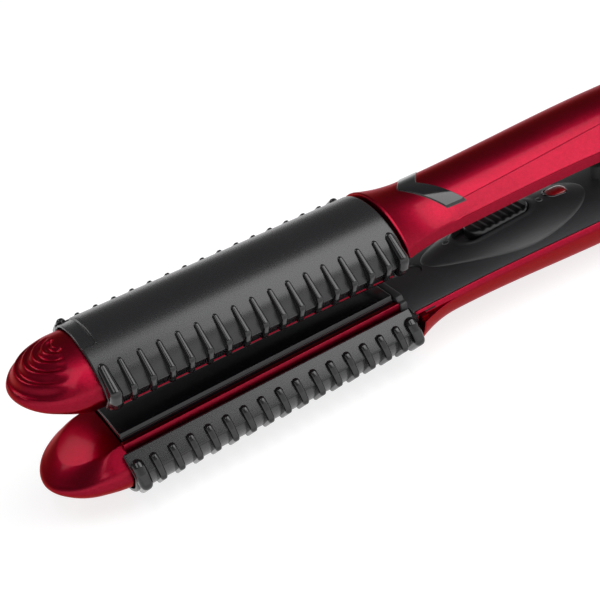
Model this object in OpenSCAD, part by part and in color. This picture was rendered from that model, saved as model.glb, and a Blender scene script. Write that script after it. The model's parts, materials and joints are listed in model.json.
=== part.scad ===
// Two-armed hair crimper and styler with comb covers that slide off over the tips.
// Each arm is drawn lying on its mating plane z = 0, with z rising away from the other arm, y across
// and x running from the covers' front ends (x = 0) back to the hinge pin. The lower arm is that
// drawing mirrored, and the upper arm is that drawing turned about the pin by the opening angle.

/* [Arms] */
// Length of the comb covers, which is also that of the heated zone
barrel_len = 86; // [75:1:100]
// Distance from the covers' rear ends to the hinge pin
handle_len = 135; // [124:1:150]
// Angle between the arms at rest
open_deg = 1.83; // [1.6:0.01:2.2]
// Distance from the mating plane to a flat land beside a plate
land_z = 2; // [1.6:0.1:2.2]
// Half width of the red rails on both sides of a plate
rail_y = 12.3; // [12:0.1:12.4]
// Half width of the pocket that a plate floats in
pocket_y = 10.6; // [10.5:0.05:10.8]
// Depth of the pocket's floor below the mating plane
pocket_z = 11; // [10.6:0.1:12]
// Wall of the hollow arm frames
frame_wall = 1.8; // [1.5:0.1:2.2]

/* [Comb covers] */
// Radius of the covers' crown
crown_r = 23.6; // [23:0.1:24.5]
// Distance of the crown's centre beyond the mating plane
crown_drop = 3.6; // [3:0.1:4]
// Radius of the covers' rolled-in sides
side_r = 13; // [12:0.1:13.5]
// Angle above the mating plane at which the crown turns into the sides
side_deg = 56; // [52:1:60]
// Wall of the covers
cover_wall = 1.3; // [1:0.1:1.5]
// Sliding gap between a cover and the arm inside it
cover_gap = 0.3; // [0.25:0.05:0.5]
// Distance from the mating plane to the covers' lips
lip_z = 3.7; // [3.5:0.1:4]
// Half width at which the lips turn up into the sides
lip_y = 14; // [13.8:0.1:14.4]
// Slope of the covers' undersides
under_deg = 45; // [42:1:48]
// Number of small fins on each side of a cover
fin_count = 15; // [11:1:16]
// Distance from one fin to the next
fin_pitch = 5.2; // [5:0.1:5.4]
// Thickness of a small fin
fin_t = 2.1; // [1.8:0.1:2.6]
// Thickness of the large end fins
ear_t = 3.8; // [3.2:0.1:4.2]
// Radius of the rounded corners of a fin's outline
fin_round = 1.4; // [1.1:0.1:1.6]
// Angle above the mating plane of a fin's head
head_deg = 52.2; // [50:0.2:54]
// Height of a fin's head above the crown
head_rise = 0.8; // [0.5:0.1:1.2]
// Angle above the mating plane of a fin's shoulder, where it stands furthest out
shoulder_deg = 36; // [33:1:39]
// Height of a fin's shoulder above the circle of the crown
shoulder_rise = 1.6; // [1.3:0.1:2]
// Distance down the underside from its upper corner to a fin's toe
toe_in = 1.4; // [1:0.1:1.8]
// Height of a fin's toe above the underside
toe_rise = 1.8; // [1.5:0.1:2.1]
// Distance down the underside from its upper corner to a fin's root
root_in = 3.2; // [2.8:0.1:3.6]
// Extra height of the large end fins
ear_rise = 0.5; // [0.3:0.1:0.8]
// Depth of the thumb notch in the upper cover's front rim
notch_d = 0.6; // [0.4:0.1:0.8]
// Length of the thumb notch along the cover
notch_len = 4; // [3:0.1:5]
// Reach of the thumb notch from the crown's top towards the near side
notch_near = 8; // [6:0.5:10]
// Reach of the thumb notch towards the far side
notch_far = 14; // [10:0.5:14.5]

/* [Tips] */
// Distance from the covers' front ends to the tips' ridges
ridge_x = 0.8; // [0.6:0.1:1.4]
// Distance from the covers' front ends to the upright axes of the tips' domes
dome_x = 2.8; // [2:0.1:3.6]
// Radius of the domes' rounded rims
nose_f = 4; // [3:0.1:5]
// Radius of the beak-like inner face of a tip
beak_r = 36; // [30:1:44]
// Radius of a tip's inner face from side to side
beak_side_r = 80; // [60:5:120]
// Angle at which the beak leaves the ridge
beak_deg = 6; // [3:1:9]
// Number of ripple rings on the upper tip
ring_count = 5; // [3:1:5]
// Radius of the smallest ripple ring
ring_r = 3.2; // [3:0.1:3.4]
// Distance from one ripple ring to the next
ring_pitch = 2.75; // [2.5:0.05:2.8]
// Depth of the ripple rings
ring_d = 0.4; // [0.3:0.05:0.5]

/* [Plates] */
// Half width of the heating plates
plate_y = 10.2; // [9.8:0.1:10.3]
// Distance from the covers' front ends to the plates' front ends
plate_x = 1.65; // [1.6:0.05:2.4]
// Distance from the plates' rear ends to the covers' rear ends
plate_rear = 2.15; // [2.15:0.05:6]
// Breadth of the bevel along a plate's edges
plate_edge = 0.5; // [0.3:0.1:0.8]
// Thickness of the heating plates
plate_t = 3; // [2.6:0.1:3.2]
// Distance from the mating plane to a plate's face
plate_face = 0.15; // [0.15:0.05:0.3]
// Travel of a plate into its arm
plate_travel = 0.8; // [0.5:0.1:1]
// Half width of the carriers' flanges, held behind the rails
flange_y = 11.1; // [11:0.05:11.2]
// Thickness of the carriers' flanges
flange_t = 1.5; // [1.2:0.1:1.8]
// Height of the carriers above the plates
carrier_h = 4.2; // [3.8:0.1:4.4]
// Distance from a plate's ends to its carrier's ends
carrier_in = 3; // [2:0.5:5]
// Outer radius of the springs behind the carriers
spring_r = 3; // [2.4:0.1:3.6]
// Thickness of those springs' wire
spring_wire = 0.8; // [0.6:0.1:1]
// Distance from a plate's ends to the springs' middles
spring_in = 14; // [10:1:20]
// Length of the ceramic heaters
heater_len = 62; // [50:1:66]
// Half width of the ceramic heaters
heater_y = 5; // [4:0.1:5.5]
// Thickness of the ceramic heaters
heater_t = 2.2; // [1.6:0.1:2.6]

/* [Handles] */
// Radius of the collars where the handles meet the covers
collar_r = 20.8; // [20.5:0.1:21.2]
// Length of the flared collars
flare_len = 15; // [12:1:18]
// Radius of the lower handle's waist
lower_waist_r = 17.4; // [17:0.1:18]
// Radius of the upper handle's waist
upper_waist_r = 18.4; // [18:0.1:19]
// Radius of the handles' belly
belly_r = 20.3; // [20.1:0.1:20.6]
// Distance from the covers' rear ends to the belly's front end
belly_in = 84; // [78:1:90]
// Length of the belly
belly_len = 22; // [16:1:26]
// Radius of the handles at the hinge
hinge_r = 16.8; // [16.4:0.1:17]
// Radius of the tail's end, round the cord inlet
tail_r = 9.5; // [9:0.1:10.5]
// Length of the tail behind the hinge pin
tail_len = 24; // [22.5:0.5:28]
// Wall of the handles
wall = 2.2; // [1.9:0.1:2.5]
// Distance from the mating plane to the lower handle's rim
lower_rim = 4.8; // [4.4:0.1:5.2]
// Distance from the mating plane to the upper handle's rim
upper_rim = 8.6; // [8.4:0.1:9]
// Height by which the frames' side strips stand out of the rims
strip_out = 1.2; // [0.8:0.1:1.4]
// Thickness of the frames' side strips
strip_t = 1.4; // [1.2:0.1:1.8]
// Angle of the crease along the upper handle, above the mating plane
crease_deg = 52.5; // [50:0.5:56]
// Depth of the flat below the crease
crease_d = 0.45; // [0.3:0.05:0.6]
// Length over which the flat fades out in front of the belly
crease_fade = 30; // [20:1:40]
// Distance from the mating plane to the lower inner panel
lower_panel_z = 2.6; // [2.4:0.1:3]
// Distance from the mating plane to the upper inner panel
upper_panel_z = 6.8; // [6.6:0.1:7.2]
// Thickness of the inner panels
panel_t = 1.8; // [1.5:0.1:2]
// Radius of the inner panels' crown
panel_r = 46; // [40:1:60]
// Distance from the covers' rear ends to the rubber bumper's middle
bumper_in = 79; // [76:1:82]

/* [Screws] */
// Distance from the covers' rear ends to the panels' front screws
front_screw_in = 10.6; // [10:0.2:11.6]
// Distance from the covers' rear ends to the panels' rear screws
rear_screw_in = 92; // [89:1:96]
// Radius of the screws' shanks
screw_r = 1.25; // [1.1:0.05:1.4]
// Radius of the screws' heads
screw_head_r = 2.4; // [2.2:0.1:2.6]
// Thickness of the screws' heads
screw_head_t = 1; // [0.8:0.1:1.2]
// Length of the screws
screw_len = 6.5; // [5:0.5:7.5]
// Radius of the posts that the screws go into
post_r = 3.2; // [2.9:0.1:3.6]

/* [Chevron] */
// Distance from the covers' rear ends to the chevron's point
chevron_in = 10; // [9:0.5:12]
// Length of the chevron along the handle
chevron_len = 6.6; // [5:0.1:7.5]
// Distance by which the chevron's ends lie behind its point
chevron_sweep = 8; // [6:0.5:10]
// Half width of the chevron
chevron_y = 12; // [11:0.1:12.4]
// Width of the raised frame round the chevron
chevron_rim = 0.7; // [0.5:0.1:1]
// Height of the chevron's frame above the handle
chevron_h = 0.5; // [0.3:0.1:0.7]
// Depth of the chevron's seat in the handle
inlay_d = 0.8; // [0.6:0.1:1.2]

/* [Switch] */
// Distance from the covers' rear ends to the switch pod's middle
pod_in = 41; // [39:0.5:43]
// Half length of the switch pod
pod_half = 27; // [26:0.5:28]
// Half width of the switch pod
pod_y = 13.4; // [12.5:0.1:13.8]
// Height of the switch pod above the panel's crown
pod_h = 3.6; // [3.2:0.1:3.8]
// Distance from the covers' rear ends to the front of the knob's recess
recess_in = 25.4; // [25:0.1:26]
// Length of the knob's recess
recess_len = 25.6; // [25.2:0.1:26.4]
// Half width of the knob's recess
recess_y = 4.6; // [4.2:0.1:5]
// Length of the switch knob
knob_len = 20.8; // [20:0.1:21]
// Travel of the switch knob, from off to on
knob_travel = 4; // [3:0.1:4]
// Height of the switch knob over the mating plane
knob_top = 1.9; // [1.6:0.1:2]
// Number of ribs across the switch knob
knob_ribs = 8; // [5:1:10]
// Thickness of the ribs across the switch knob
rib_t = 1.2; // [0.8:0.1:1.4]
// Distance from the covers' rear ends to the indicator's middle
lens_in = 61.1; // [60:0.1:62]
// Half length of the indicator lens
lens_half = 3.6; // [3.2:0.1:3.8]
// Half width of the indicator lens
lens_y = 2.3; // [2:0.1:2.5]
// Radius of the indicator's lamp
led_r = 1.5; // [1.2:0.1:1.6]
// Distance from the mating plane to the circuit board
board_z = 10; // [9:0.1:10.2]
// Length of the circuit board
board_len = 52; // [46:1:56]
// Half width of the circuit board
board_y = 9; // [7:0.5:9]
// Thickness of the circuit board
board_t = 1.6; // [1:0.2:1.6]

/* [Hinge] */
// Radius of the hinge pin
pin_r = 2.5; // [2:0.1:3]
// Running gap between the pin and the upper arm's knuckle
pin_gap = 0.05; // [0.03:0.01:0.09]
// Half length of the hinge pin
pin_y = 15.4; // [15:0.1:15.6]
// Radius of the caps over the pin's ends
cap_r = 5.1; // [4.6:0.1:5.4]
// Half distance between the caps' outer faces
cap_y = 17.1; // [16.8:0.1:17.4]
// Outer radius of the hinge spring
coil_r = 4.6; // [4.4:0.1:4.9]
// Thickness of the hinge spring's wire
coil_wire = 1.4; // [1:0.1:1.6]
// Half length of the hinge spring
coil_y = 4; // [3:0.5:4.5]
// Radius of the lower arm's cheeks
cheek_r = 7.6; // [7:0.1:7.8]
// Radius of the upper arm's knuckle
knuckle_r = 9.6; // [9:0.1:10]
// Half width of the upper arm's knuckle
knuckle_y = 8.4; // [7.8:0.1:8.6]
// Gap between the knuckle and a cheek
knuckle_gap = 0.4; // [0.3:0.05:0.6]
// Radius of the upper handle's rounded end, about the pin
heel_r = 17; // [16.8:0.1:17.6]
// Radius of the cord inlet's bore
cord_r = 3.4; // [3:0.1:3.8]
// Outer radius of the cord swivel's collar
swivel_r = 6; // [5.6:0.1:6.4]
// Length of the cord swivel that stands out of the tail
swivel_out = 2; // [1:0.1:3]
// Depth of the cord swivel's seat in the tail
swivel_seat = 6; // [5:0.1:7]

/* [Hidden] */
$fn = 64;

// Colours
red = [0.72, 0.04, 0.14];
black = [0.1, 0.1, 0.11];
gloss = [0.03, 0.03, 0.035];
steel = [0.7, 0.71, 0.73];
ceramic = [0.86, 0.84, 0.78];

// Gap between pieces that are fixed to each other, gap between pieces that move, overlap that keeps
// two curves from only just touching, overrun of a cutting tool, and a length beyond the whole part
seat = 0.1;
room = 0.4;
hair = 0.01;
over = 1;
big = 400;

// Covers, and the centre of the arc that rolls a side in, which stands out of the crown by a hair
cover_h = crown_r - crown_drop;
side_cy = (crown_r - side_r + hair) * cos(side_deg);
side_cz = (crown_r - side_r + hair) * sin(side_deg) - crown_drop;
inner = cover_wall + cover_gap;
end_margin = (barrel_len - (fin_count - 1) * fin_pitch) / 2;
lip_half = lip_y - cover_wall * tan(under_deg / 2);

// Frames and tips
tip_back = plate_x - 0.35;
plate_len = barrel_len - plate_x - plate_rear;
pocket_end = plate_x + plate_len + room;
neck_end = barrel_len - 0.3;
handle_x = barrel_len + 1;
frame_end = barrel_len + front_screw_in - post_r - 0.5;
nose_x = -dome_x - side_corner(inner + nose_f)[0] - nose_f;

// Centres of the round corners of a fin's outline, from the crown to the underside
fin_head = crown_point(crown_r + head_rise - fin_round, head_deg);
fin_shoulder = crown_point(crown_r + shoulder_rise - fin_round, shoulder_deg);
fin_toe = underside_point(toe_in, toe_rise - fin_round);
fin_root = underside_point(root_in, 0);

// Plates
plate_back = plate_face + plate_t;
flange_z = plate_back + 1.2;
carrier_top = plate_back + carrier_h;
carrier_x = plate_x + carrier_in;
carrier_len = plate_len - 2 * carrier_in;
carrier_y = plate_y - 0.8;
heater_x = plate_x + (plate_len - heater_len) / 2;

// Handles
hinge_x = barrel_len + handle_len;
tail_x = hinge_x + tail_len;
belly_x = barrel_len + belly_in;
front_wall = 2.4;
strip_h = 7;
strip_end = hinge_x - heel_r - 2;
panel_end = hinge_x - 12;
bumper_x = barrel_len + bumper_in;
bumper_h = 1.5;
stud_z = 1.8;
bumper_y = 2.6;
screws_x = [barrel_len + front_screw_in, barrel_len + rear_screw_in];
chevron_x = barrel_len + chevron_in;

// Switch, indicator and board
pod_x = barrel_len + pod_in;
recess_x = barrel_len + recess_in;
lens_x = barrel_len + lens_in;
stem_y = 2;
stem_half = 3;
window_y = stem_y + 1;
recess_floor = 0.9;
bezel_t = 0.7;
knob_y = recess_y - room;

// Hinge: plane against which the caps lie
cap_seat = pin_y + 0.2;

// Where the whole part stands: bottom centre of its box at the origin
mid_x = (tail_x + swivel_out + nose_x) / 2;
lift = cover_h;

// Distance from that centre to a sloping underside, both moved inwards by an inset
function under_gap(inset) = (side_cz - lip_z) * cos(under_deg) + (lip_y - side_cy) * sin(under_deg) - inset;

// Point where a side meets a sloping underside
function side_corner(inset) = let (g = under_gap(inset), a = sqrt(pow(side_r - inset, 2) - g * g))
    [side_cy + g * sin(under_deg) + a * cos(under_deg), side_cz - g * cos(under_deg) + a * sin(under_deg)];

// Point at a distance from the crown's centre, at an angle above the mating plane
function crown_point(r, a) = [r * cos(a), r * sin(a) - crown_drop];

// Point down the sloping underside from its upper corner, and out of it by a height
function underside_point(down, out) = side_corner(0)
    + [out * sin(under_deg) - down * cos(under_deg), -out * cos(under_deg) - down * sin(under_deg)];

// Step from 0 to 1 that is level at both ends
function smooth(t) = t <= 0 ? 0 : t >= 1 ? 1 : t * t * (3 - 2 * t);

// Outer radius of a handle with a given waist at x
function handle_r(x, waist) = waist
    + (collar_r - waist) * pow(1 - min(1, max(0, (x - handle_x) / flare_len)), 2)
    + (belly_r - waist) * smooth((x - handle_x - flare_len) / (belly_x - handle_x - flare_len))
    - (belly_r - hinge_r) * smooth((x - belly_x - belly_len) / (hinge_x - belly_x - belly_len))
    - (hinge_r - tail_r) * (1 - sqrt(1 - pow(min(1, max(0, (x - hinge_x) / (tail_len + 4))), 2)));

// Stations along a handle, closer together in the flare and the tail
stations = concat(
    [for (i = [0 : 7]) handle_x + flare_len * i / 7],
    [for (i = [1 : 14]) handle_x + flare_len + (hinge_x - handle_x - flare_len) * i / 14],
    [for (i = [1 : 7]) hinge_x + tail_len * i / 7]);

// Extrudes a profile drawn in y and z along x
module along_x(x0, len) {
    translate([x0, 0, 0]) rotate([90, 0, 90]) linear_extrude(height = len) children();
}

// Extrudes a profile drawn in x and z across y
module across_y(half) {
    translate([0, half, 0]) rotate([90, 0, 0]) linear_extrude(height = 2 * half) children();
}

// A round bar across y
module bar_y(x, z, r, y0, y1) {
    translate([x, y0, z]) rotate([-90, 0, 0]) cylinder(r = r, h = y1 - y0);
}

// A round bar along x
module bar_x(x0, r, len) {
    translate([x0, 0, 0]) rotate([0, 90, 0]) cylinder(r = r, h = len);
}

// Solid of revolution about x with a handle's outline, moved inwards by an inset
module handle_body(waist, inset, x0, x1) {
    xs = concat([x0], [for (x = stations) if (x > x0 + 0.5 && x < x1 - 0.5) x], [x1]);
    rotate([0, 90, 0]) rotate_extrude()
        polygon(concat([[0, x0]], [for (x = xs) [handle_r(x, waist) - inset, x]], [[0, x1]]));
}

// Section of the barrel: crown, rolled-in sides and sloping undersides, moved inwards by an inset.
// The undersides run down to the height floor_z.
module barrel_section(inset, floor_z) {
    run = big / 10;
    foot = lip_y - inset * tan(under_deg / 2) - (lip_z + inset - floor_z) / tan(under_deg);
    intersection() {
        union() {
            intersection() {
                translate([0, -crown_drop]) circle(r = crown_r - inset);
                translate([-(crown_r - inset) * cos(side_deg), 0])
                    square([2 * (crown_r - inset) * cos(side_deg), crown_r]);
            }
            for (s = [-1, 1]) translate([s * side_cy, side_cz]) circle(r = side_r - inset);
        }
        polygon([[-foot, floor_z], [foot, floor_z], [foot + run, floor_z + run * tan(under_deg)],
            [-foot - run, floor_z + run * tan(under_deg)]]);
    }
}

// The barrel's section as a tip has it, with the corners below its sides rounded
module tip_section() {
    c = side_corner(inner + nose_f);
    v = side_corner(inner);
    side = (c - [side_cy, side_cz]) / norm(c - [side_cy, side_cz]);
    under = [sin(under_deg), -cos(under_deg)];
    far = 3 * nose_f;
    difference() {
        barrel_section(inner, land_z);
        for (s = [-1, 1]) scale([s, 1])
            polygon([c, c + far * under, c + 3 * (v - c), c + far * side]);
    }
    for (s = [-1, 1]) translate([s * c[0], c[1]]) circle(r = nose_f);
}

// Bar with round ends between two points of a drawing
module round_bar(from, to, r) {
    way = to - from;
    translate(from) rotate(atan2(way[1], way[0])) {
        translate([0, hair - r]) square([norm(way), 2 * (r - hair)]);
        circle(r = r);
        translate([norm(way), 0]) circle(r = r);
    }
}

// Outline of a pair of fins with rounded corners, filled up to inside the cover's wall
module fin_outline(r) {
    for (s = [-1, 1]) scale([s, 1]) {
        round_bar(fin_head, fin_shoulder, r);
        round_bar(fin_shoulder, fin_toe, r);
        round_bar(fin_toe, fin_root, r);
        polygon([[side_cy, side_cz], fin_root, fin_toe, fin_shoulder, fin_head]);
    }
}

// One pair of fins, from x0 on
module fins(x0, t, r) {
    along_x(x0, t) difference() {
        fin_outline(r);
        barrel_section(cover_wall / 2, lip_z + cover_wall / 2);
    }
}

// Comb cover of one arm, with its lips and fins
module comb_cover() {
    difference() {
        union() {
            along_x(0, barrel_len) barrel_section(0, lip_z);
            for (i = [0 : fin_count - 1]) fins(end_margin + i * fin_pitch - fin_t / 2, fin_t, fin_round);
            for (x = [0, barrel_len - ear_t]) fins(x, ear_t, fin_round + ear_rise);
        }
        along_x(-over, barrel_len + 2 * over) {
            barrel_section(cover_wall, lip_z + cover_wall);
            translate([-lip_half, 0]) square([2 * lip_half, lip_z + 2 * cover_wall]);
        }
    }
}

// Tip of one arm: a dome about an upright axis, cut by the beak-like inner face in front of the ridge
module arm_tip(rings) {
    bx = -ridge_x + beak_r * sin(beak_deg);
    bz = land_z + beak_r * cos(beak_deg);
    intersection() {
        union() {
            intersection() {
                translate([-dome_x, 0, 0]) rotate_extrude() difference() {
                    intersection() {
                        tip_section();
                        square(big);
                    }
                    if (rings) for (i = [0 : ring_count - 1]) ring_groove(ring_r + i * ring_pitch);
                }
                translate([-big - dome_x, -big / 2, 0]) cube([big, big, big]);
            }
            along_x(-dome_x, dome_x + tip_back) tip_section();
        }
        // barrel-shaped body: the beak's arc along x, turned about an axis far behind it
        translate([bx, 0, bz + beak_side_r - beak_r]) rotate([0, 90, 0]) rotate_extrude($fn = 180)
            intersection() {
                translate([beak_side_r - beak_r, 0]) circle(r = beak_r, $fn = 180);
                translate([0, -beak_r]) square([2 * beak_side_r, 2 * beak_r]);
            }
    }
}

// Groove of one ripple ring in the dome's outline, at a distance r from the dome's axis
module ring_groove(r) {
    top = r < (crown_r - inner) * cos(side_deg)
        ? sqrt(pow(crown_r - inner, 2) - r * r) - crown_drop
        : sqrt(pow(side_r - inner, 2) - pow(r - side_cy, 2)) + side_cz;
    groove_r = 1;
    translate([r, top + groove_r - ring_d]) circle(r = groove_r);
}

// Hollow frame of one arm: barrel core with the plate's pocket, and side strips along the handle
module arm_frame(waist, rim, panel_z) {
    difference() {
        intersection() {
            along_x(tip_back, frame_end - tip_back) union() {
                barrel_section(inner, lip_z + inner);
                translate([-rail_y, land_z]) square([2 * rail_y, lip_z + 4 - land_z]);
            }
            handle_clear(waist);
        }
        // pocket: open towards the other arm between the rails, wider behind them
        translate([0, -pocket_y, 0]) cube([pocket_end, 2 * pocket_y, pocket_z]);
        translate([0, -flange_y - cover_gap, flange_z - cover_gap])
            cube([pocket_end, 2 * (flange_y + cover_gap), flange_t + plate_travel + 2 * cover_gap]);
        // hollow behind the pocket's floor, open towards the handle for the leads
        along_x(tip_back + frame_wall, big) intersection() {
            barrel_section(inner + frame_wall, lip_z + inner + frame_wall);
            translate([-30, pocket_z + frame_wall]) square([60, 30]);
        }
        translate([handle_x + front_wall, -big / 2, pocket_z + frame_wall]) cube([big, big, big]);
        along_x(neck_end, big) below_panel(panel_z);
    }
    intersection() {
        difference() {
            handle_body(waist, wall + seat, handle_x + front_wall, strip_end);
            handle_body(waist, wall + seat + strip_t, handle_x, strip_end + over);
        }
        translate([0, -big / 2, rim - strip_out]) cube([big, big, strip_h]);
    }
}

// Room for an inner panel: everything below its inner face
module below_panel(z) {
    difference() {
        translate([-big / 2, -over]) square([big, z + panel_t + strip_h + over]);
        translate([0, z + panel_r]) circle(r = panel_r - panel_t - seat, $fn = 128);
    }
}

// Everything in front of the handle, and what lies inside its wall
module handle_clear(waist) {
    translate([-over, -30, -over]) cube([handle_x + front_wall + over, 60, 40]);
    handle_body(waist, wall + seat + strip_t - 0.5, handle_x, frame_end + over);
}

// Heating plate of one arm, with slightly broken long edges
module heating_plate() {
    along_x(plate_x, plate_len)
        polygon([[-plate_y + plate_edge, plate_face], [plate_y - plate_edge, plate_face],
            [plate_y, plate_face + plate_edge], [plate_y, plate_back],
            [-plate_y, plate_back], [-plate_y, plate_face + plate_edge]]);
}

// Carrier behind a plate: a flanged channel that holds the heater
module plate_carrier() {
    difference() {
        along_x(carrier_x, carrier_len) union() {
            translate([-carrier_y, plate_back]) square([2 * carrier_y, carrier_h]);
            translate([-flange_y, flange_z]) square([2 * flange_y, flange_t]);
        }
        translate([heater_x - seat, -heater_y - seat, plate_back - over])
            cube([heater_len + 2 * seat, 2 * (heater_y + seat), over + heater_t + seat]);
    }
}

module ceramic_heater() {
    translate([heater_x, -heater_y, plate_back]) cube([heater_len, 2 * heater_y, heater_t]);
}

// Two coil springs between a carrier and the pocket's floor
module plate_springs() {
    for (x = [plate_x + spring_in, plate_x + plate_len - spring_in])
        translate([x, 0, carrier_top]) difference() {
            cylinder(r = spring_r, h = pocket_z - carrier_top);
            translate([0, 0, -over]) cylinder(r = spring_r - spring_wire, h = big);
        }
}

// Crowned inner panel that closes a handle's open side
module inner_panel(waist, z, x1) {
    intersection() {
        handle_body(waist, wall + strip_t + 2 * seat, handle_x, x1);
        along_x(handle_x - over, big) difference() {
            translate([0, z + panel_r]) circle(r = panel_r, $fn = 128);
            translate([0, z + panel_r]) circle(r = panel_r - panel_t, $fn = 128);
            translate([-big / 2, z + panel_t + strip_h]) square([big, big]);
        }
    }
}

// Handle wall with a front bulkhead round the frame and the inner panel
module handle_shell(waist, rim, panel_z, x1) {
    intersection() {
        difference() {
            handle_body(waist, 0, handle_x, x1);
            handle_body(waist, wall, handle_x + front_wall, x1 + over);
            along_x(handle_x - over, front_wall + 2 * over) {
                barrel_section(inner - seat, 0);
                intersection() {
                    below_panel(panel_z);
                    circle(r = collar_r - wall);
                }
            }
        }
        translate([0, -big / 2, rim]) cube([big, big, big]);
    }
}

// Post from the handle's wall to the underside of the inner panel, with a screw hole
module screw_post(x, waist, z) {
    intersection() {
        translate([x, 0, z + panel_t + seat]) difference() {
            cylinder(r = post_r, h = big);
            translate([0, 0, -over]) cylinder(r = screw_r + seat / 2, h = screw_len + 2 * over);
        }
        handle_body(waist, wall / 2, handle_x, hinge_x);
    }
}

// Screw whose head lies half a head's thickness deep in the panel
module panel_screw(x, z) {
    translate([x, 0, z + screw_head_t / 2]) {
        cylinder(r = screw_head_r, h = screw_head_t);
        cylinder(r = screw_r, h = screw_len);
    }
}

module screw_hole(x, z) {
    translate([x, 0, z - over]) cylinder(r = screw_head_r + 2 * seat, h = over + 1.5 * screw_head_t);
    translate([x, 0, z - over]) cylinder(r = screw_r + seat, h = over + 2 * panel_t);
}

// Places a drawing of the lower or the upper arm in the part's frame
module as_lower() {
    translate([-mid_x, 0, lift]) mirror([0, 0, 1]) children();
}

module as_upper() {
    translate([hinge_x - mid_x, 0, lift]) rotate([0, open_deg, 0]) translate([-hinge_x, 0, 0]) children();
}

module lower_shell() {
    color(red) as_lower() {
        difference() {
            union() {
                handle_shell(lower_waist_r, lower_rim, lower_panel_z, hinge_x - heel_r);
                tail_shell();
                cheeks();
                for (x = screws_x) screw_post(x, lower_waist_r, lower_panel_z);
            }
            // flat on which the part lies
            translate([0, -big / 2, cover_h]) cube([big, big, big]);
            bar_y(hinge_x, 0, pin_r + 2 * hair, -big, big);
            for (s = [-1, 1])
                bar_y(hinge_x, 0, cap_r + seat, s > 0 ? cap_seat : -big, s > 0 ? big : -cap_seat);
            bar_x(tail_x - swivel_seat, swivel_r + pin_gap, swivel_seat + over);
            // passage for the cord's leads, from the hinge to the swivel
            bar_x(hinge_x + knuckle_r, cord_r + room, tail_x - swivel_seat + over - hinge_x - knuckle_r);
        }
    }
}

// Wall of the tail behind the upper arm's rounded heel, full round, and its underside
module tail_shell() {
    difference() {
        handle_body(lower_waist_r, 0, hinge_x - heel_r, tail_x);
        handle_body(lower_waist_r, wall, hinge_x - heel_r - over, hinge_x + knuckle_r + 2 * room);
        difference() {
            union() {
                bar_y(hinge_x, 0, heel_r + room, -big, big);
                translate([0, -big / 2, -big / 2]) cube([hinge_x, big, big]);
            }
            translate([0, -big / 2, lower_rim]) cube([big, big, big]);
        }
    }
}

// Two cheeks that hold the hinge pin
module cheeks() {
    for (s = [-1, 1]) intersection() {
        handle_body(lower_waist_r, 0, hinge_x - heel_r, tail_x);
        translate([0, s > 0 ? knuckle_y + knuckle_gap : -big, -big / 2])
            cube([big, big - knuckle_y - knuckle_gap, big]);
        union() {
            bar_y(hinge_x, 0, cheek_r, -big, big);
            translate([hinge_x - cheek_r, -big / 2, 0]) cube([2 * cheek_r, big, big]);
        }
    }
}

module lower_frame() {
    color(red) as_lower() arm_frame(lower_waist_r, lower_rim, lower_panel_z);
}

module lower_tip() {
    color(red) as_lower() arm_tip(false);
}

module lower_cover() {
    color(black) as_lower() comb_cover();
}

module lower_plate() {
    color(gloss) as_lower() heating_plate();
}

module lower_carrier() {
    color(black) as_lower() plate_carrier();
}

module lower_heater() {
    color(ceramic) as_lower() ceramic_heater();
}

module lower_springs() {
    color(steel) as_lower() plate_springs();
}

module lower_panel() {
    color(black) as_lower() difference() {
        inner_panel(lower_waist_r, lower_panel_z, panel_end);
        translate([recess_x + 2, -window_y, 0]) cube([recess_len - 4, 2 * window_y, board_z]);
        translate([lens_x, 0, 0]) cylinder(r = led_r + cover_gap, h = board_z);
        screw_hole(screws_x[0], lower_panel_z);
        screw_hole(screws_x[1], lower_panel_z);
    }
}

// Low oval dome on the inner panel: part of a barrel shape whose axis lies deep below it
module pod_dome() {
    rise = pod_h + pow(pod_y, 2) / (2 * panel_r);
    ry = (pow(pod_y, 2) + pow(rise, 2)) / (2 * rise);
    rx = (pow(pod_half, 2) + pow(pod_h, 2)) / (2 * pod_h);
    translate([pod_x, 0, lower_panel_z - pod_h + ry]) rotate([0, 90, 0]) rotate_extrude($fn = 360)
        intersection() {
            translate([ry - rx, 0]) circle(r = rx, $fn = 360);
            translate([0, -rx]) square([2 * rx, 2 * rx]);
        }
}

module switch_pod() {
    color(black) as_lower() difference() {
        intersection() {
            pod_dome();
            along_x(pod_x - pod_half - 2, 2 * pod_half + 4) difference() {
                translate([-big / 2, -pod_h]) square([big, 4 * pod_h]);
                translate([0, lower_panel_z + panel_r]) circle(r = panel_r + seat / 2, $fn = 128);
            }
        }
        translate([recess_x, -recess_y, -pod_h])
            cube([recess_len, 2 * recess_y, pod_h + lower_panel_z - recess_floor]);
        translate([recess_x + 2, -window_y, -pod_h]) cube([recess_len - 4, 2 * window_y, board_z]);
        translate([lens_x, 0, -pod_h]) linear_extrude(height = 4 * pod_h)
            oval(lens_half + bezel_t + seat, lens_y + bezel_t + seat);
    }
}

// Oval with round ends
module oval(half, r) {
    square([2 * (half - r), 2 * r], center = true);
    for (s = [-1, 1]) translate([s * (half - r), 0]) circle(r = r);
}

// Knob in its off place: a ribbed slide with a stem down to the switch
module switch_knob() {
    x0 = recess_x + recess_len - room - knob_len;
    rib_h = 0.6;
    bottom = lower_panel_z - recess_floor - cover_gap;
    stem_z = lower_panel_z + panel_t + 2;
    step = (knob_len - 2 * rib_t - rib_t) / (knob_ribs - 1);
    color(gloss) as_lower() {
        translate([x0, -knob_y, rib_h - knob_top]) cube([knob_len, 2 * knob_y, bottom + knob_top - rib_h]);
        for (i = [0 : knob_ribs - 1]) translate([x0 + rib_t + i * step, -knob_y, -knob_top])
            cube([rib_t, 2 * knob_y, 2 * rib_h]);
        translate([x0 + knob_len / 2 - stem_half, -stem_y, 0]) cube([2 * stem_half, 2 * stem_y, stem_z]);
    }
}

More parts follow.
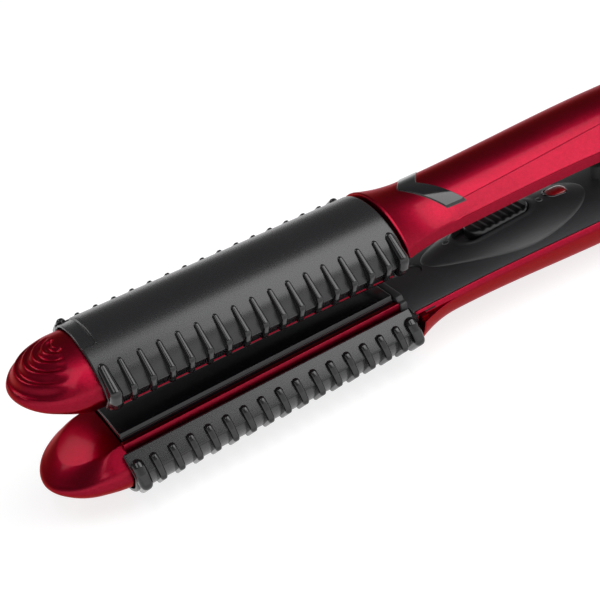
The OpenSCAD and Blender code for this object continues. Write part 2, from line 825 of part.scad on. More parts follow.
// Slide switch on the board, with a slot for the knob's stem
module switch_body() {
    top = lower_panel_z + panel_t + 0.6;
    slot_y = stem_y + cover_gap;
    color(black) as_lower() difference() {
        translate([recess_x + 3, -2 * slot_y, top]) cube([recess_len - 6, 4 * slot_y, board_z - top]);
        translate([recess_x + 4, -slot_y, 0]) cube([recess_len - 8, 2 * slot_y, top + 2]);
    }
}

module circuit_board() {
    color([0.1, 0.35, 0.2]) as_lower() translate([recess_x - 6, -board_y, board_z])
        cube([board_len, 2 * board_y, board_t]);
}

module indicator_bezel() {
    color(steel) as_lower() intersection() {
        translate([lens_x, 0, -pod_h]) linear_extrude(height = pod_h + lower_panel_z - seat) difference() {
            oval(lens_half + bezel_t, lens_y + bezel_t);
            oval(lens_half + seat / 2, lens_y + seat / 2);
        }
        translate([0, 0, -0.3]) pod_dome();
    }
}

module indicator_lens() {
    color([0.8, 0.05, 0.05, 0.6]) as_lower() intersection() {
        translate([lens_x, 0, -pod_h]) linear_extrude(height = pod_h + lower_panel_z - seat)
            oval(lens_half, lens_y);
        translate([0, 0, -0.5]) pod_dome();
    }
}

module indicator_led() {
    z0 = lower_panel_z + 2 * seat;
    color([0.8, 0.1, 0.1]) as_lower() translate([lens_x, 0, z0]) cylinder(r = led_r, h = board_z - z0);
}

module bumper() {
    color(black) as_lower() intersection() {
        translate([bumper_x, 0, -bumper_h]) linear_extrude(height = 2 * bumper_h + lower_panel_z)
            oval(4, bumper_y);
        along_x(0, big) difference() {
            square([big, 4 * bumper_h], center = true);
            translate([0, lower_panel_z + panel_r]) circle(r = panel_r + seat / 2, $fn = 128);
        }
    }
}

module lower_screws() {
    color(steel) as_lower() for (x = screws_x) panel_screw(x, lower_panel_z);
}

module upper_shell() {
    color(red) as_upper() difference() {
        union() {
            intersection() {
                handle_shell(upper_waist_r, upper_rim, upper_panel_z, hinge_x + heel_r);
                union() {
                    translate([0, -big / 2, 0]) cube([hinge_x, big, big]);
                    bar_y(hinge_x, 0, heel_r, -big, big);
                }
            }
            knuckle();
            for (x = screws_x) screw_post(x, upper_waist_r, upper_panel_z);
        }
        crease_cutter();
        bar_y(hinge_x, 0, pin_r + pin_gap, -big, big);
        bar_y(hinge_x, 0, coil_r + 2 * room, -coil_y - room, coil_y + room);
        intersection() {
            linear_extrude(height = big) chevron_outline(-seat / 2);
            difference() {
                handle_body(upper_waist_r, -over, handle_x, hinge_x);
                handle_body(upper_waist_r, inlay_d, handle_x - over, hinge_x + over);
            }
        }
    }
}

// Cuts the long flat below the crease on both sides: a slim hollow that follows the handle's swell,
// turned about a line far outside it, and leaves it in front of the belly
module crease_cutter() {
    far = 5 * crown_r;
    mid_deg = (crease_deg + asin(upper_rim / upper_waist_r)) / 2;
    x0 = handle_x + flare_len;
    steps = 14;
    profile = [for (i = [0 : steps]) let (x = x0 + (belly_x - x0) * i / steps)
        [far - handle_r(x, upper_waist_r) + flat_d(x), x]];
    for (s = [-1, 1]) rotate([s * (90 - mid_deg), 0, 0]) translate([0, 0, far]) rotate([0, 90, 0])
        rotate_extrude($fn = 360) polygon(concat([[0, x0]], profile, [[0, belly_x]]));
}

// Depth of the flat at x, down to a little above the surface at its rear end
function flat_d(x) = crease_d - (crease_d + seat) * smooth((x - belly_x + crease_fade) / crease_fade);

// Knuckle of the upper arm: a round eye between the cheeks and a neck up into the handle
module knuckle() {
    intersection() {
        handle_body(upper_waist_r, wall / 2, handle_x, tail_x);
        union() {
            bar_y(hinge_x, 0, knuckle_r, -knuckle_y, knuckle_y);
            translate([hinge_x - knuckle_r, -knuckle_y, 0]) cube([2 * knuckle_r, 2 * knuckle_y, big]);
        }
        union() {
            bar_y(hinge_x, 0, heel_r, -big, big);
            translate([hinge_x - big, -big / 2, 0]) cube([big, big, big]);
        }
    }
}

module upper_frame() {
    color(red) as_upper() arm_frame(upper_waist_r, upper_rim, upper_panel_z);
}

module upper_tip() {
    color(red) as_upper() arm_tip(true);
}

module upper_cover() {
    color(black) as_upper() difference() {
        comb_cover();
        // thumb notch over the crown's front rim
        along_x(-over, notch_len + over) difference() {
            translate([-notch_near, crown_r / 2]) square([notch_near + notch_far, crown_r]);
            translate([0, -crown_drop]) circle(r = crown_r - notch_d, $fn = 128);
        }
    }
}

module upper_plate() {
    color(gloss) as_upper() heating_plate();
}

module upper_carrier() {
    color(black) as_upper() plate_carrier();
}

module upper_heater() {
    color(ceramic) as_upper() ceramic_heater();
}

module upper_springs() {
    color(steel) as_upper() plate_springs();
}

module upper_panel() {
    color(black) as_upper() difference() {
        union() {
            inner_panel(upper_waist_r, upper_panel_z, panel_end);
            // stud that meets the bumper when the arms are closed
            translate([bumper_x, 0, stud_z])
                cylinder(r = bumper_y + room, h = upper_panel_z + panel_t / 2 - stud_z);
        }
        screw_hole(screws_x[0], upper_panel_z);
        screw_hole(screws_x[1], upper_panel_z);
    }
}

module upper_screws() {
    color(steel) as_upper() for (x = screws_x) panel_screw(x, upper_panel_z);
}

// Chevron seen from above, its point towards the tip
module chevron_outline(inset) {
    k = sqrt(pow(chevron_sweep, 2) + pow(chevron_y, 2)) / chevron_y;
    y1 = chevron_y - inset;
    x0 = chevron_x + inset * k;
    x1 = chevron_x + chevron_len - inset * k;
    dx = chevron_sweep * y1 / chevron_y;
    polygon([[x0, 0], [x0 + dx, y1], [x1 + dx, y1], [x1, 0], [x1 + dx, -y1], [x0 + dx, -y1]]);
}

module chevron_frame() {
    color(red) as_upper() intersection() {
        difference() {
            handle_body(upper_waist_r, -chevron_h, handle_x, belly_x);
            handle_body(upper_waist_r, inlay_d - seat / 2, handle_x - over, belly_x + over);
        }
        linear_extrude(height = big) difference() {
            chevron_outline(0);
            chevron_outline(chevron_rim);
        }
    }
}

module chevron_inlay() {
    color(gloss) as_upper() intersection() {
        difference() {
            handle_body(upper_waist_r, 2 * seat - chevron_h, handle_x, belly_x);
            handle_body(upper_waist_r, inlay_d - seat / 2, handle_x - over, belly_x + over);
        }
        linear_extrude(height = big) chevron_outline(chevron_rim + seat / 2);
    }
}

module hinge_pin() {
    color(steel) as_lower() bar_y(hinge_x, 0, pin_r, -pin_y, pin_y);
}

module hinge_caps() {
    color(red) as_lower() for (s = [-1, 1])
        bar_y(hinge_x, 0, cap_r, s > 0 ? cap_seat : -cap_y, s > 0 ? cap_y : -cap_seat);
}

module hinge_spring() {
    color(steel) as_lower() difference() {
        bar_y(hinge_x, 0, coil_r, -coil_y, coil_y);
        bar_y(hinge_x, 0, coil_r - coil_wire, -coil_y - over, coil_y + over);
    }
}

module cord_swivel() {
    color(black) as_lower() difference() {
        bar_x(tail_x - swivel_seat + seat, swivel_r, swivel_seat - seat + swivel_out);
        bar_x(tail_x - swivel_seat - over, cord_r, big);
    }
}

lower_shell();
lower_frame();
lower_tip();
lower_cover();
lower_plate();
lower_carrier();
lower_heater();
lower_springs();
lower_panel();
switch_pod();
switch_knob();
switch_body();
circuit_board();
indicator_bezel();
indicator_lens();
indicator_led();
bumper();
lower_screws();
upper_shell();
upper_frame();
upper_tip();
upper_cover();
upper_plate();
upper_carrier();
upper_heater();
upper_springs();
upper_panel();
upper_screws();
chevron_frame();
chevron_inlay();
hinge_pin();
hinge_caps();
hinge_spring();
cord_swivel();
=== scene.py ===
# Two-armed hair crimper with comb covers: moulded skins, lacquers and plastics, and a small studio.
# Each arm is worked out lying on its mating plane z = 0, in millimetres, with z rising away from the
# other arm, y across and x from the covers' front ends back to the hinge pin.
import json
import math

import bmesh
import bpy
import numpy as np
from bpy.props import FloatProperty, FloatVectorProperty, IntProperty, PointerProperty
from mathutils import Matrix


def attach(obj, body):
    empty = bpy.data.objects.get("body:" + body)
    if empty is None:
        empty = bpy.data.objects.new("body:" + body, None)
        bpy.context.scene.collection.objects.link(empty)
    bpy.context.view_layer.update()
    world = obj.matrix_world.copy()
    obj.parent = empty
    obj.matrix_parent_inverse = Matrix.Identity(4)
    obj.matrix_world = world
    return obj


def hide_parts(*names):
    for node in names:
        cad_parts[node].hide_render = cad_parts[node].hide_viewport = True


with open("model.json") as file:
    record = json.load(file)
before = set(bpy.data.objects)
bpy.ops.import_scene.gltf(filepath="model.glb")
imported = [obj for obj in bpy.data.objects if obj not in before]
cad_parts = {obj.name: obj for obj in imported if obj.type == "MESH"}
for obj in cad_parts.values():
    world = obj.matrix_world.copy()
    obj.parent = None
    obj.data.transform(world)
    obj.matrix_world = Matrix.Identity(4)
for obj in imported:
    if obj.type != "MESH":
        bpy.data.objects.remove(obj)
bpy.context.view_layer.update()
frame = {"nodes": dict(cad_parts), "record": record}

bl_info = {
    "name": "Hair crimper",
    "version": (1, 0, 0),
    "blender": (4, 5, 0),
    "location": "View3D > Sidebar > Crimper",
    "description": "Moulded skins, finishes and studio of a two-armed hair crimper with comb covers",
    "category": "Object",
}

MM = 0.001
ARMS = ("lower", "upper")

# Sizes of one arm, in millimetres and degrees
BARREL, HINGE_X, TAIL_LEN, OPEN_DEG = 86.0, 221.0, 24.0, 1.83
CROWN_R, CROWN_DROP, SIDE_R, SIDE_DEG = 23.6, 3.6, 13.0, 56.0
LIP_Z, LIP_Y, LAND_Z, RAIL_Y, POCKET_Y = 3.7, 14.0, 2.0, 12.3, 10.6
LIFT = CROWN_R - CROWN_DROP
# Tangent of half the underside's 45 degrees, by which its corners move in for each unit of inset
MITRE = math.tan(math.radians(22.5))

# Covers: wall, gap to the core, and the patch pressed into the front rim of the upper one
COVER_WALL, INNER = 1.3, 1.6
NOTCH_D, NOTCH_LEN, NOTCH_Y = 0.6, 4.0, (-8.0, 14.0)

# Fins: small ones at a pitch and large ones at the ends. Head and shoulder have an angle on the crown and
# a distance out from it, the root a distance from the side's corner, and the head a share of the foot's
# width. Pairs are for small and large fins: the radius of the bends, and the toe's place along the
# underside and out from it. Last, the directions that the outer edge faces at its two ends
FIN_COUNT, FIN_PITCH, FIN_T, EAR_T = 15, 5.2, 2.1, 3.8
HEAD_DEG, HEAD_OUT, SHOULDER_DEG, SHOULDER_OUT, ROOT_RUN, FIN_HEAD = 52.2, -0.6, 36.0, 0.2, 2.7, 0.74
BEND_R, TOE_RUN, TOE_OUT = (1.35, 1.75), (0.8, 0.95), (-0.14, 0.2)
FIRST_DEG, LAST_DEG = 150, -157

# Tips: nose, dome's axis, beak, ripples, and how much the plain one is squashed above a height. Plates
# and their pockets
NOSE_F, DOME_X, RIDGE_X, BEAK_R, BEAK_SIDE_R, BEAK_DEG = 4.0, 2.8, 0.8, 36.0, 80.0, 6.0
RING_R, RING_PITCH, RING_COUNT, TIP_SQUASH, SQUASH_Z = 3.2, 2.75, 5, 0.13, 6
PLATE_X, PLATE_END, POCKET_END, TIP_BACK = 1.65, 83.85, 84.25, 1.3

# Necks behind the cores and stop bars behind the plates: the necks' radius, where both end along x, how
# far down the necks reach and how far up the stop bars do
NECK_R, NECK_END, STOP_END = 17.2, 92.9, 86.5
NECK_Z = {"lower": 5.3, "upper": 10.2}
STOP_Z = {"lower": 8.0, "upper": 12.5}

# Handles: the collar's flare, the waist that swells into the belly, and the tail
HANDLE_X, FLARE, COLLAR_R, BELLY_R, BELLY_X, BELLY_LEN = 87.0, 15.0, 20.8, 20.3, 170.0, 22.0
HINGE_R, TAIL_R, HEEL_R, HEEL_GAP, SHELL_END = 16.8, 9.5, 17.0, 0.4, 204.0
WALL, FRONT_WALL, DISC_R = 2.2, 2.4, 18.7
WAIST = {"lower": 17.4, "upper": 18.4}
RIM = {"lower": 4.8, "upper": 8.6}
PANEL_Z = {"lower": 2.6, "upper": 6.8}

# Rims: the lower one lies on its strip and is rounded; the upper one rises, and its chamfer is drawn by
# depth below the handle's surface and height above the rim
SEAM_Z, RIM_ROUND, RIM_RISE, RISE_X, RISE_LEN = 6.1, 0.12, 1.3, 97, 53
CHAMFER = ((0.0, 2.75), (0.03, 2.6), (0.10, 2.42), (0.80, 0.32), (0.92, 0.1), (1.1, 0.0))

# Crease of the upper handle: its angle, its turn, and the flat below it with its beginning and end
CREASE_DEG, TURN_DEG, TURN_X, TURN_LEN = 52.9, 6.1, 108, 42
CREASE_D, FLAT_X, FLAT_IN, FLAT_END, FLAT_OUT = 0.45, 103, 8, 152, 26
# Half the angle that the flat takes up at the chevron, in radians
FLAT_HALF = 0.2215

# Panels and side strips: the strips' outlines as depth below the handle's surface and height, with the
# radii of their corners, and the depth at which the panels end. Screws, their posts and wells. Bumper
PANEL_R, PANEL_T, PANEL_X, PANEL_END = 46.0, 1.8, 86.6, 209
STRIP_T, STRIP_X, STRIP_END = 1.4, POCKET_END + 2.4, 202.0
STRIP = {"lower": [(0.03, 5.85), (1.2, 4.7), (1.75, 4.7), (1.75, 6.6), (0.03, 6.6)],
         "upper": [(2.3, 8.4), (2.3 + STRIP_T, 8.4), (2.3 + STRIP_T, 14.4), (2.3, 14.4)]}
STRIP_ROUND = {"lower": [0.25, 0.2, 0.2, 0, 0], "upper": [0.3, 0.3, 0, 0]}
PANEL_IN = {"lower": 1.6, "upper": 2.3 + STRIP_T + 0.18}
SCREWS_X, SCREW_HEAD_R, POST_R, WELL_D = (96.6, 178.0), 2.4, 3.2, 1.55
BUMPER_X, BUMPER_HALF, BUMPER_R = 165.0, 4.0, 2.6

# Switch pod, narrower towards its front, with its knob, marks and lens
POD_X, POD_HALF, POD_REAR, POD_Y, POD_H, POD_STEP = 127.0, 27.0, 1.08, 13.4, 3.6, 0.35
POD_SLIM, SLIM_X, SLIM_LEN = 0.3, 132, 30
RECESS_X, RECESS_HALF, RECESS_Y, RECESS_FLOOR = 124.2, 12.8, 4.6, 0.9
KNOB_X, KNOB_HALF, KNOB_Y, KNOB_TOP, KNOB_RIBS, KNOB_BOX = 126.2, 10.4, 4.2, 1.9, 8, 0.42
LENS_X, LENS_HALF, LENS_Y, LENS_H, BEZEL = 147.1, 3.6, 2.3, 1.15, 0.15
MARKS, MARK_R = ((109.6, 1.5), (140.4, -1.4)), 0.95

# Chevron, hinge and cord
CHEVRON_X, CHEVRON_LEN, CHEVRON_SWEEP, CHEVRON_Y, CHEVRON_ROUND, SEAM = 96.0, 6.6, 8.0, 12.0, 0.35, 0.35
PIN_R, CAP_R, CAP_Y, CAP_SEAT, CHEEK_R, KNUCKLE_R, KNUCKLE_Y = 2.5, 5.1, 17.1, 15.6, 7.6, 9.6, 8.4
CORD_R, SWIVEL_R, SWIVEL_SEAT, SWIVEL_OUT = 3.4, 6.0, 6.0, 2.0

# Camera: place in metres, heading, tilt and roll. Softboxes: place and size in metres, and roll
CAMERA_AT, HEADING, TILT, ROLL = (-0.16901, -0.28815, 0.21408), 67.95, 31.29, -14.68
SOFTBOXES = {"key": ((0.516, -0.31, 1.06), (1.15, 0.65), 33.4),
             "fill": ((-0.17, -0.25, 1.18), (0.4, 0.85), 0.0),
             "back": ((-0.50, 0.82, 0.72), (0.45, 0.4), 0.0)}
# Direction in which the room darkens, and how far along it the darkening ends
DARK_WAY, DARK_AT = (0, 0.4, 1), 0.6
# Half the paper's side in metres, and its brightness where it is seen: its own, and matt under the lamps
PAPER_HALF, PAPER_GLOW, PAPER_MATT = 4, 0.76, 0.35


# ---------------------------------------------------------------- settings

def number(name, description, value, **kind):
    """A number that isn't negative, as a property."""
    return FloatProperty(name=name, description=description, default=value, min=0.0, **kind)


def length(name, description, value, most):
    """A size in millimetres as a property in metres."""
    return number(name, description, value * MM, max=most * MM, unit="LENGTH", precision=5)


def tint(name, description, value):
    """A colour as a property."""
    return FloatVectorProperty(name=name, description=description, default=value, min=0.0, max=1.0,
                               subtype="COLOR", size=3)


class CrimperSizes(bpy.types.PropertyGroup):
    """Sizes of the moulded details."""
    ripple: length("Ripple height", "Height of the ripples on the upper tip", 0.62, 1.0)
    fin_edge: length("Fin edge", "Width of a small fin at its outer edge", 1.95, 2.2)
    groove: length("Crease groove", "Depth of the fine groove along the upper handle's crease", 0.14, 0.4)
    rib: length("Knob ribs", "Height of the ribs across the switch knob", 0.45, 1.0)
    inlay: length("Chevron height", "Height of the chevron above the handle", 0.3, 0.5)
    slit: number("Slit", "Share of the collar's flare that the side strips leave out", 0.25, max=0.9,
                 subtype="FACTOR")
    rings: IntProperty(name="Ripples", description="Number of ripples on the upper tip",
                       default=RING_COUNT, min=1, max=5)


class CrimperColours(bpy.types.PropertyGroup):
    """Colours of the finishes."""
    lacquer: tint("Lacquer", "Flake colour of the red lacquer", (0.27, 0.0045, 0.021))
    lacquer_deep: tint("Deep lacquer", "Colour between the flakes", (0.20, 0.003, 0.015))
    cover: tint("Cover", "Plastic of the comb covers", (0.009, 0.009, 0.010))
    panel: tint("Panel", "Plastic of the inner panels", (0.026, 0.026, 0.028))
    gloss: tint("Gloss", "Gloss black of the chevron and the knob", (0.006, 0.006, 0.007))
    plate: tint("Plate", "Ceramic coat of the heating plates", (0.004, 0.004, 0.005))
    lens: tint("Lens", "Red lens of the indicator", (0.32, 0.008, 0.012))
    steel: tint("Steel", "Pin and springs", (0.62, 0.62, 0.64))


class CrimperStudio(bpy.types.PropertyGroup):
    """Light, floor and camera."""
    key: number("Key light", "Power of the large softbox overhead", 9.5, unit="POWER")
    fill: number("Fill light", "Power of the softbox right overhead", 3.0, unit="POWER")
    back: number("Back light", "Power of the small softbox behind the tips", 1.8, unit="POWER")
    horizon: number("Horizon", "Brightness of the room low down", 1.5)
    zenith: number("Zenith", "Brightness of the room overhead and behind", 0.15)
    floor: tint("Floor", "Paper that the crimper lies on", (0.86, 0.86, 0.86))
    focal: FloatProperty(name="Focal length", description="Focal length of the camera", default=81.856,
                         min=1.0, unit="CAMERA")


# ---------------------------------------------------------------- short forms

def join(*parts, axis=0):
    """Arrays joined end to end along an axis."""
    return np.concatenate(parts, axis)


def points(*coordinates):
    """Points from their coordinates, each spread over the shape that they share."""
    return np.stack(np.broadcast_arrays(*coordinates), -1)


def sweep(a, b, n):
    """Angles in even steps from a to b degrees, in radians."""
    return np.radians(np.linspace(a, b, n))


def around(n):
    """Angles in n even steps round a full turn, in radians."""
    return np.linspace(0, 2 * np.pi, n, endpoint=False)


def leg(long, short, least=0):
    """Other leg of a right triangle: root of long squared less short squared, kept from under least."""
    return np.sqrt(np.maximum(long ** 2 - short ** 2, least))


def smooth(t):
    """Step from 0 to 1 that is level at both ends."""
    t = np.clip(t, 0, 1)
    return t * t * (3 - 2 * t)


def along(path):
    """Distance run along a path up to each of its points."""
    return join([0], np.cumsum(np.linalg.norm(np.diff(path, axis=0), axis=1)))


def polar(way, angle):
    """Point at a distance and an angle in degrees."""
    return way * np.array([math.cos(math.radians(angle)), math.sin(math.radians(angle))])


def arc(centre, radius, a0, a1, n):
    """Points of a circle's arc from angle a0 to a1, in degrees."""
    a = sweep(a0, a1, n)
    return points(centre[0] + radius * np.cos(a), centre[1] + radius * np.sin(a))


# ---------------------------------------------------------------- drawing in one arm's plane

SIDE_Y, SIDE_Z = polar(CROWN_R - SIDE_R, SIDE_DEG) - (0, CROWN_DROP)


def side_corner(inset):
    """Point where the side's arc meets the 45 degree underside, both moved inwards by an inset."""
    g = (SIDE_Z - LIP_Z + LIP_Y - SIDE_Y) / math.sqrt(2) - inset
    a = leg(SIDE_R - inset, g)
    return np.array([SIDE_Y + (g + a) / math.sqrt(2), SIDE_Z + (a - g) / math.sqrt(2)])


def side_end(inset):
    """Angle of that point about the middle of the side's arc, in degrees."""
    corner = side_corner(inset)
    return math.degrees(math.atan2(corner[1] - SIDE_Z, corner[0] - SIDE_Y))


# Middle of the crimper's length
MID_X = (HINGE_X + TAIL_LEN + SWIVEL_OUT - DOME_X - side_corner(INNER + NOSE_F)[0] - NOSE_F) / 2


def placed(drawing, arm):
    """Points of an arm's drawing in the row frame, in metres: the lower arm is the drawing mirrored in
    z, and the upper arm is the drawing turned about the hinge pin by the opening angle."""
    x, y, z = np.moveaxis(np.asarray(drawing, float), -1, 0)
    t = math.radians(OPEN_DEG)
    d = x - HINGE_X
    row = {"lower": (x - MID_X, y, LIFT - z),
           "upper": (HINGE_X - MID_X + d * math.cos(t) + z * math.sin(t), y,
                     LIFT - d * math.sin(t) + z * math.cos(t))}[arm]
    return points(*row) * MM


def half_section(inset, floor_z, n=24):
    """Right half of the barrel's outline from its top to its foot: the crown's arc, the side's arc and
    the sloping underside down to the height floor_z, all moved inwards by an inset."""
    crown = arc((0, -CROWN_DROP), CROWN_R - inset, 90, SIDE_DEG, n)
    side = arc((SIDE_Y, SIDE_Z), SIDE_R - inset, SIDE_DEG, side_end(inset), n)
    foot = (LIP_Y - inset * MITRE - (LIP_Z + inset - floor_z), floor_z)
    return join(crown, side[1:], [foot])


def both(half):
    """A right half from top to foot, preceded by its mirror image from foot to top."""
    return join(half[::-1] * [-1, 1], half[1:])


def outline(corners, radii, inset=0.0, n=5):
    """Closed outline with rounded corners, moved inwards by an inset. Each corner moves along its
    bisector, and an arc that touches both of its edges takes its place; corners of radius 0 stay."""
    c = np.asarray(corners, float)
    r = np.broadcast_to(np.asarray(radii, float), len(c))
    ahead = np.roll(c, -1, 0) - c
    ahead /= np.linalg.norm(ahead, axis=1, keepdims=True)
    back = np.roll(ahead, 1, 0)
    hand = np.sign((c[:, 0] * np.roll(c[:, 1], -1) - np.roll(c[:, 0], -1) * c[:, 1]).sum())
    inward = hand * points(-ahead[:, 1], ahead[:, 0])
    before = np.roll(inward, 1, 0)
    turn = np.arctan2(back[:, 0] * ahead[:, 1] - back[:, 1] * ahead[:, 0], (back * ahead).sum(1))
    bend = np.where(turn * hand >= 0, 1.0, -1.0)
    bisector = (before + inward) / (1 + (before * inward).sum(1))[:, None]
    reach = np.where(r > 0, np.maximum(r - bend * inset, 0.02), 0.0)
    centre = c + bisector * (inset + bend * reach)[:, None]
    start = np.arctan2(-bend * before[:, 1], -bend * before[:, 0])
    angle = start[:, None] + turn[:, None] * np.linspace(0, 1, n)
    rounded = centre[:, None] + reach[:, None, None] * points(np.cos(angle), np.sin(angle))
    return rounded[(r[:, None] > 0) | (np.arange(n) == 0)]


def oval(half, r, n=48):
    """Oval with round ends about the origin, as n points at even steps of angle about its ends."""
    a = around(n) + np.pi / n
    return points(r * np.cos(a) + np.sign(np.cos(a)) * (half - r), r * np.sin(a))


# ---------------------------------------------------------------- surfaces

def skin(nu, nv, wrap_u=False, wrap_v=True):
    """Quads between nu rings of nv points each; wrap_u joins the last ring to the first, and wrap_v
    closes each ring."""
    a, b = np.meshgrid(np.arange(nu if wrap_u else nu - 1), np.arange(nv if wrap_v else nv - 1),
                       indexing="ij")
    a2, b2 = (a + 1) % nu, (b + 1) % nv
    return np.stack([a * nv + b, a2 * nv + b, a2 * nv + b2, a * nv + b2], -1).reshape(-1, 4)


def solid(rings, wrap_u=False):
    """Closed surface through rings of points; the first and last ring are closed by a face each."""
    nu, nv = rings.shape[:2]
    faces = skin(nu, nv, wrap_u).tolist()
    if not wrap_u:
        faces += [list(range(nv))[::-1], list(range((nu - 1) * nv, nu * nv))]
    return rings.reshape(-1, 3), faces


def ends(x0, x1, edge, middle=(), steps=4):
    """Stations along a bar and how far its outline is drawn in at each: a quarter circle at both ends."""
    a = sweep(0, 90, steps)
    x = join(x0 + edge * (1 - np.cos(a)), middle, x1 - edge * (1 - np.cos(a[::-1])))
    inset = join(edge * (1 - np.sin(a)), np.zeros(len(middle)), edge * (1 - np.sin(a[::-1])))
    return x, inset


def bar(corners, radii, x0, x1, edge=0.3, middle=()):
    """An outline in y and z carried along x from x0 to x1, with rounded end edges."""
    x, inset = ends(x0, x1, edge, middle)
    loops = np.stack([outline(corners, radii, e) for e in inset])
    return points(x[:, None], loops[..., 0], loops[..., 1])


def turned(d, s, axis, n, at=HINGE_X):
    """Closed profile of the distance d and the place s, turned in n steps about the line y = z = 0 along
    x, or about the line along y or z through x = at; d may change with the angle."""
    a = around(n)[:, None]
    c, h = d * np.cos(a), d * np.sin(a)
    return solid(points(*{"x": (s, c, h), "y": (at + c, s, h), "z": (at + c, h, s)}[axis]), True)


# ---------------------------------------------------------------- comb covers and tips

def cover_shell(notch):
    """Wall of a cover: a closed outline along the crown, the rolled-in sides and the lips, and back along
    the inside, carried along x. A notch presses a patch of the crown in at the front rim."""
    foot = LIP_Y - COVER_WALL * MITRE
    outside = both(half_section(0, LIP_Z, 40))
    inside = both(half_section(COVER_WALL, LIP_Z + COVER_WALL, 30))[::-1]
    corners = join(outside, [[foot, LIP_Z]], inside, [[-foot, LIP_Z]])
    # Corners of the lips outside, inside, and the bends above them
    radii = np.zeros(len(corners))
    radii[[0, len(outside) - 1]] = 0.3
    radii[[len(outside), -1]] = 0.15
    radii[[1, len(outside) - 2]] = 0.8
    x = join(np.linspace(0.8, 3.4, 6), [3.7, 3.9, 4.1], np.linspace(5, BARREL - 1, 24))
    p = bar(corners, radii, 0, BARREL, 0.35, x)
    if notch:
        reach = np.hypot(p[..., 1], p[..., 2] + CROWN_DROP)
        push = NOTCH_D * smooth((NOTCH_LEN - p[..., 0]) / 0.4) * smooth((p[..., 1] - NOTCH_Y[0]) / 0.5) \
            * smooth((NOTCH_Y[1] - p[..., 1]) / 0.5) * (reach > CROWN_R - 0.6) * (p[..., 2] > 12)
        p[..., 1] -= push * p[..., 1] / reach
        p[..., 2] -= push * (p[..., 2] + CROWN_DROP) / reach
    return solid(p)


def fin_path(ear):
    """Outer edge of a fin: arcs about five places, its head, its shoulder, above and below its toe, and
    its root, with straight runs between them. Gives the points, the outward directions, for each a point
    inside the cover's wall, and the distance run."""
    under, out = np.array([[1, 1], [1, -1]]) / math.sqrt(2)
    head = polar(CROWN_R + HEAD_OUT, HEAD_DEG) + (0, -CROWN_DROP)
    shoulder = polar(CROWN_R + SHOULDER_OUT, SHOULDER_DEG) + (0, -CROWN_DROP)
    toe = side_corner(0) - TOE_RUN[ear] * under + TOE_OUT[ear] * out
    root = side_corner(0) - ROOT_RUN * under
    hubs = np.array([head, shoulder, toe + 0.3 * (shoulder - toe), toe + 0.55 * (root - toe), root])
    run = np.diff(hubs, axis=0)
    lean = np.degrees(np.arctan2(-run[:, 0], run[:, 1])) % 360 - 180
    stops = [FIRST_DEG, *lean, LAST_DEG]
    counts = (16, 16, 8, 8, 12)
    normal = join(*[arc((0, 0), 1, *stops[i:i + 2], n) for i, n in enumerate(counts)])
    outer = np.repeat(hubs, counts, 0) + BEND_R[ear] * normal
    wall = half_section(COVER_WALL / 2, LIP_Z + COVER_WALL / 2, 60)
    far, s = along(wall), along(outer)
    first = far[np.argmin(np.linalg.norm(wall - outer[0], axis=1))]
    last = far[-1] - 0.9
    w = first + (last - first) * smooth(s / s[-1]) * 0.5 + (last - first) * s / s[-1] * 0.5
    core = points(np.interp(w, far, wall[:, 0]), np.interp(w, far, wall[:, 1]))
    return outer, normal, core, s


def fin(x, ear, side, edge_w):
    """One fin: across its path the flanks lean in from the wall to a tube-like rounded edge, and it
    widens from a round, narrow head to its foot."""
    outer, normal, core, s = fin_path(ear)
    # Half widths at the wall and at the edge, and the radius of the edge's rounding
    base, edge, rc = (EAR_T / 2, EAR_T / 2 - 0.15, 1.5) if ear else (FIN_T / 2 + 0.1, edge_w / 2, 0.72)
    widen = FIN_HEAD + (1 - FIN_HEAD) * smooth(s / s[-1] / 0.75)
    grow = np.clip((s - 0.7) / base, 0.02, 1)
    fall = np.clip((s[-1] - s - 0.5) / base, 0.02, 1)
    k = leg(1, 1 - grow) * leg(1, 1 - fall) * widen
    a = sweep(0, 90, 7)
    sink = join(rc * (1 - np.sin(a)), rc * (1 - np.sin(a[::-1])))
    wide = join(edge - rc + rc * np.cos(a), -(edge - rc + rc * np.cos(a[::-1])))
    rim = outer[:, None] - normal[:, None] * sink[None, :, None]
    yz = join(core[:, None], rim, core[:, None], axis=1)
    w = join([base], wide, [-base]) * k[:, None]
    return solid(points(x + w, side * yz[..., 0], yz[..., 1]))


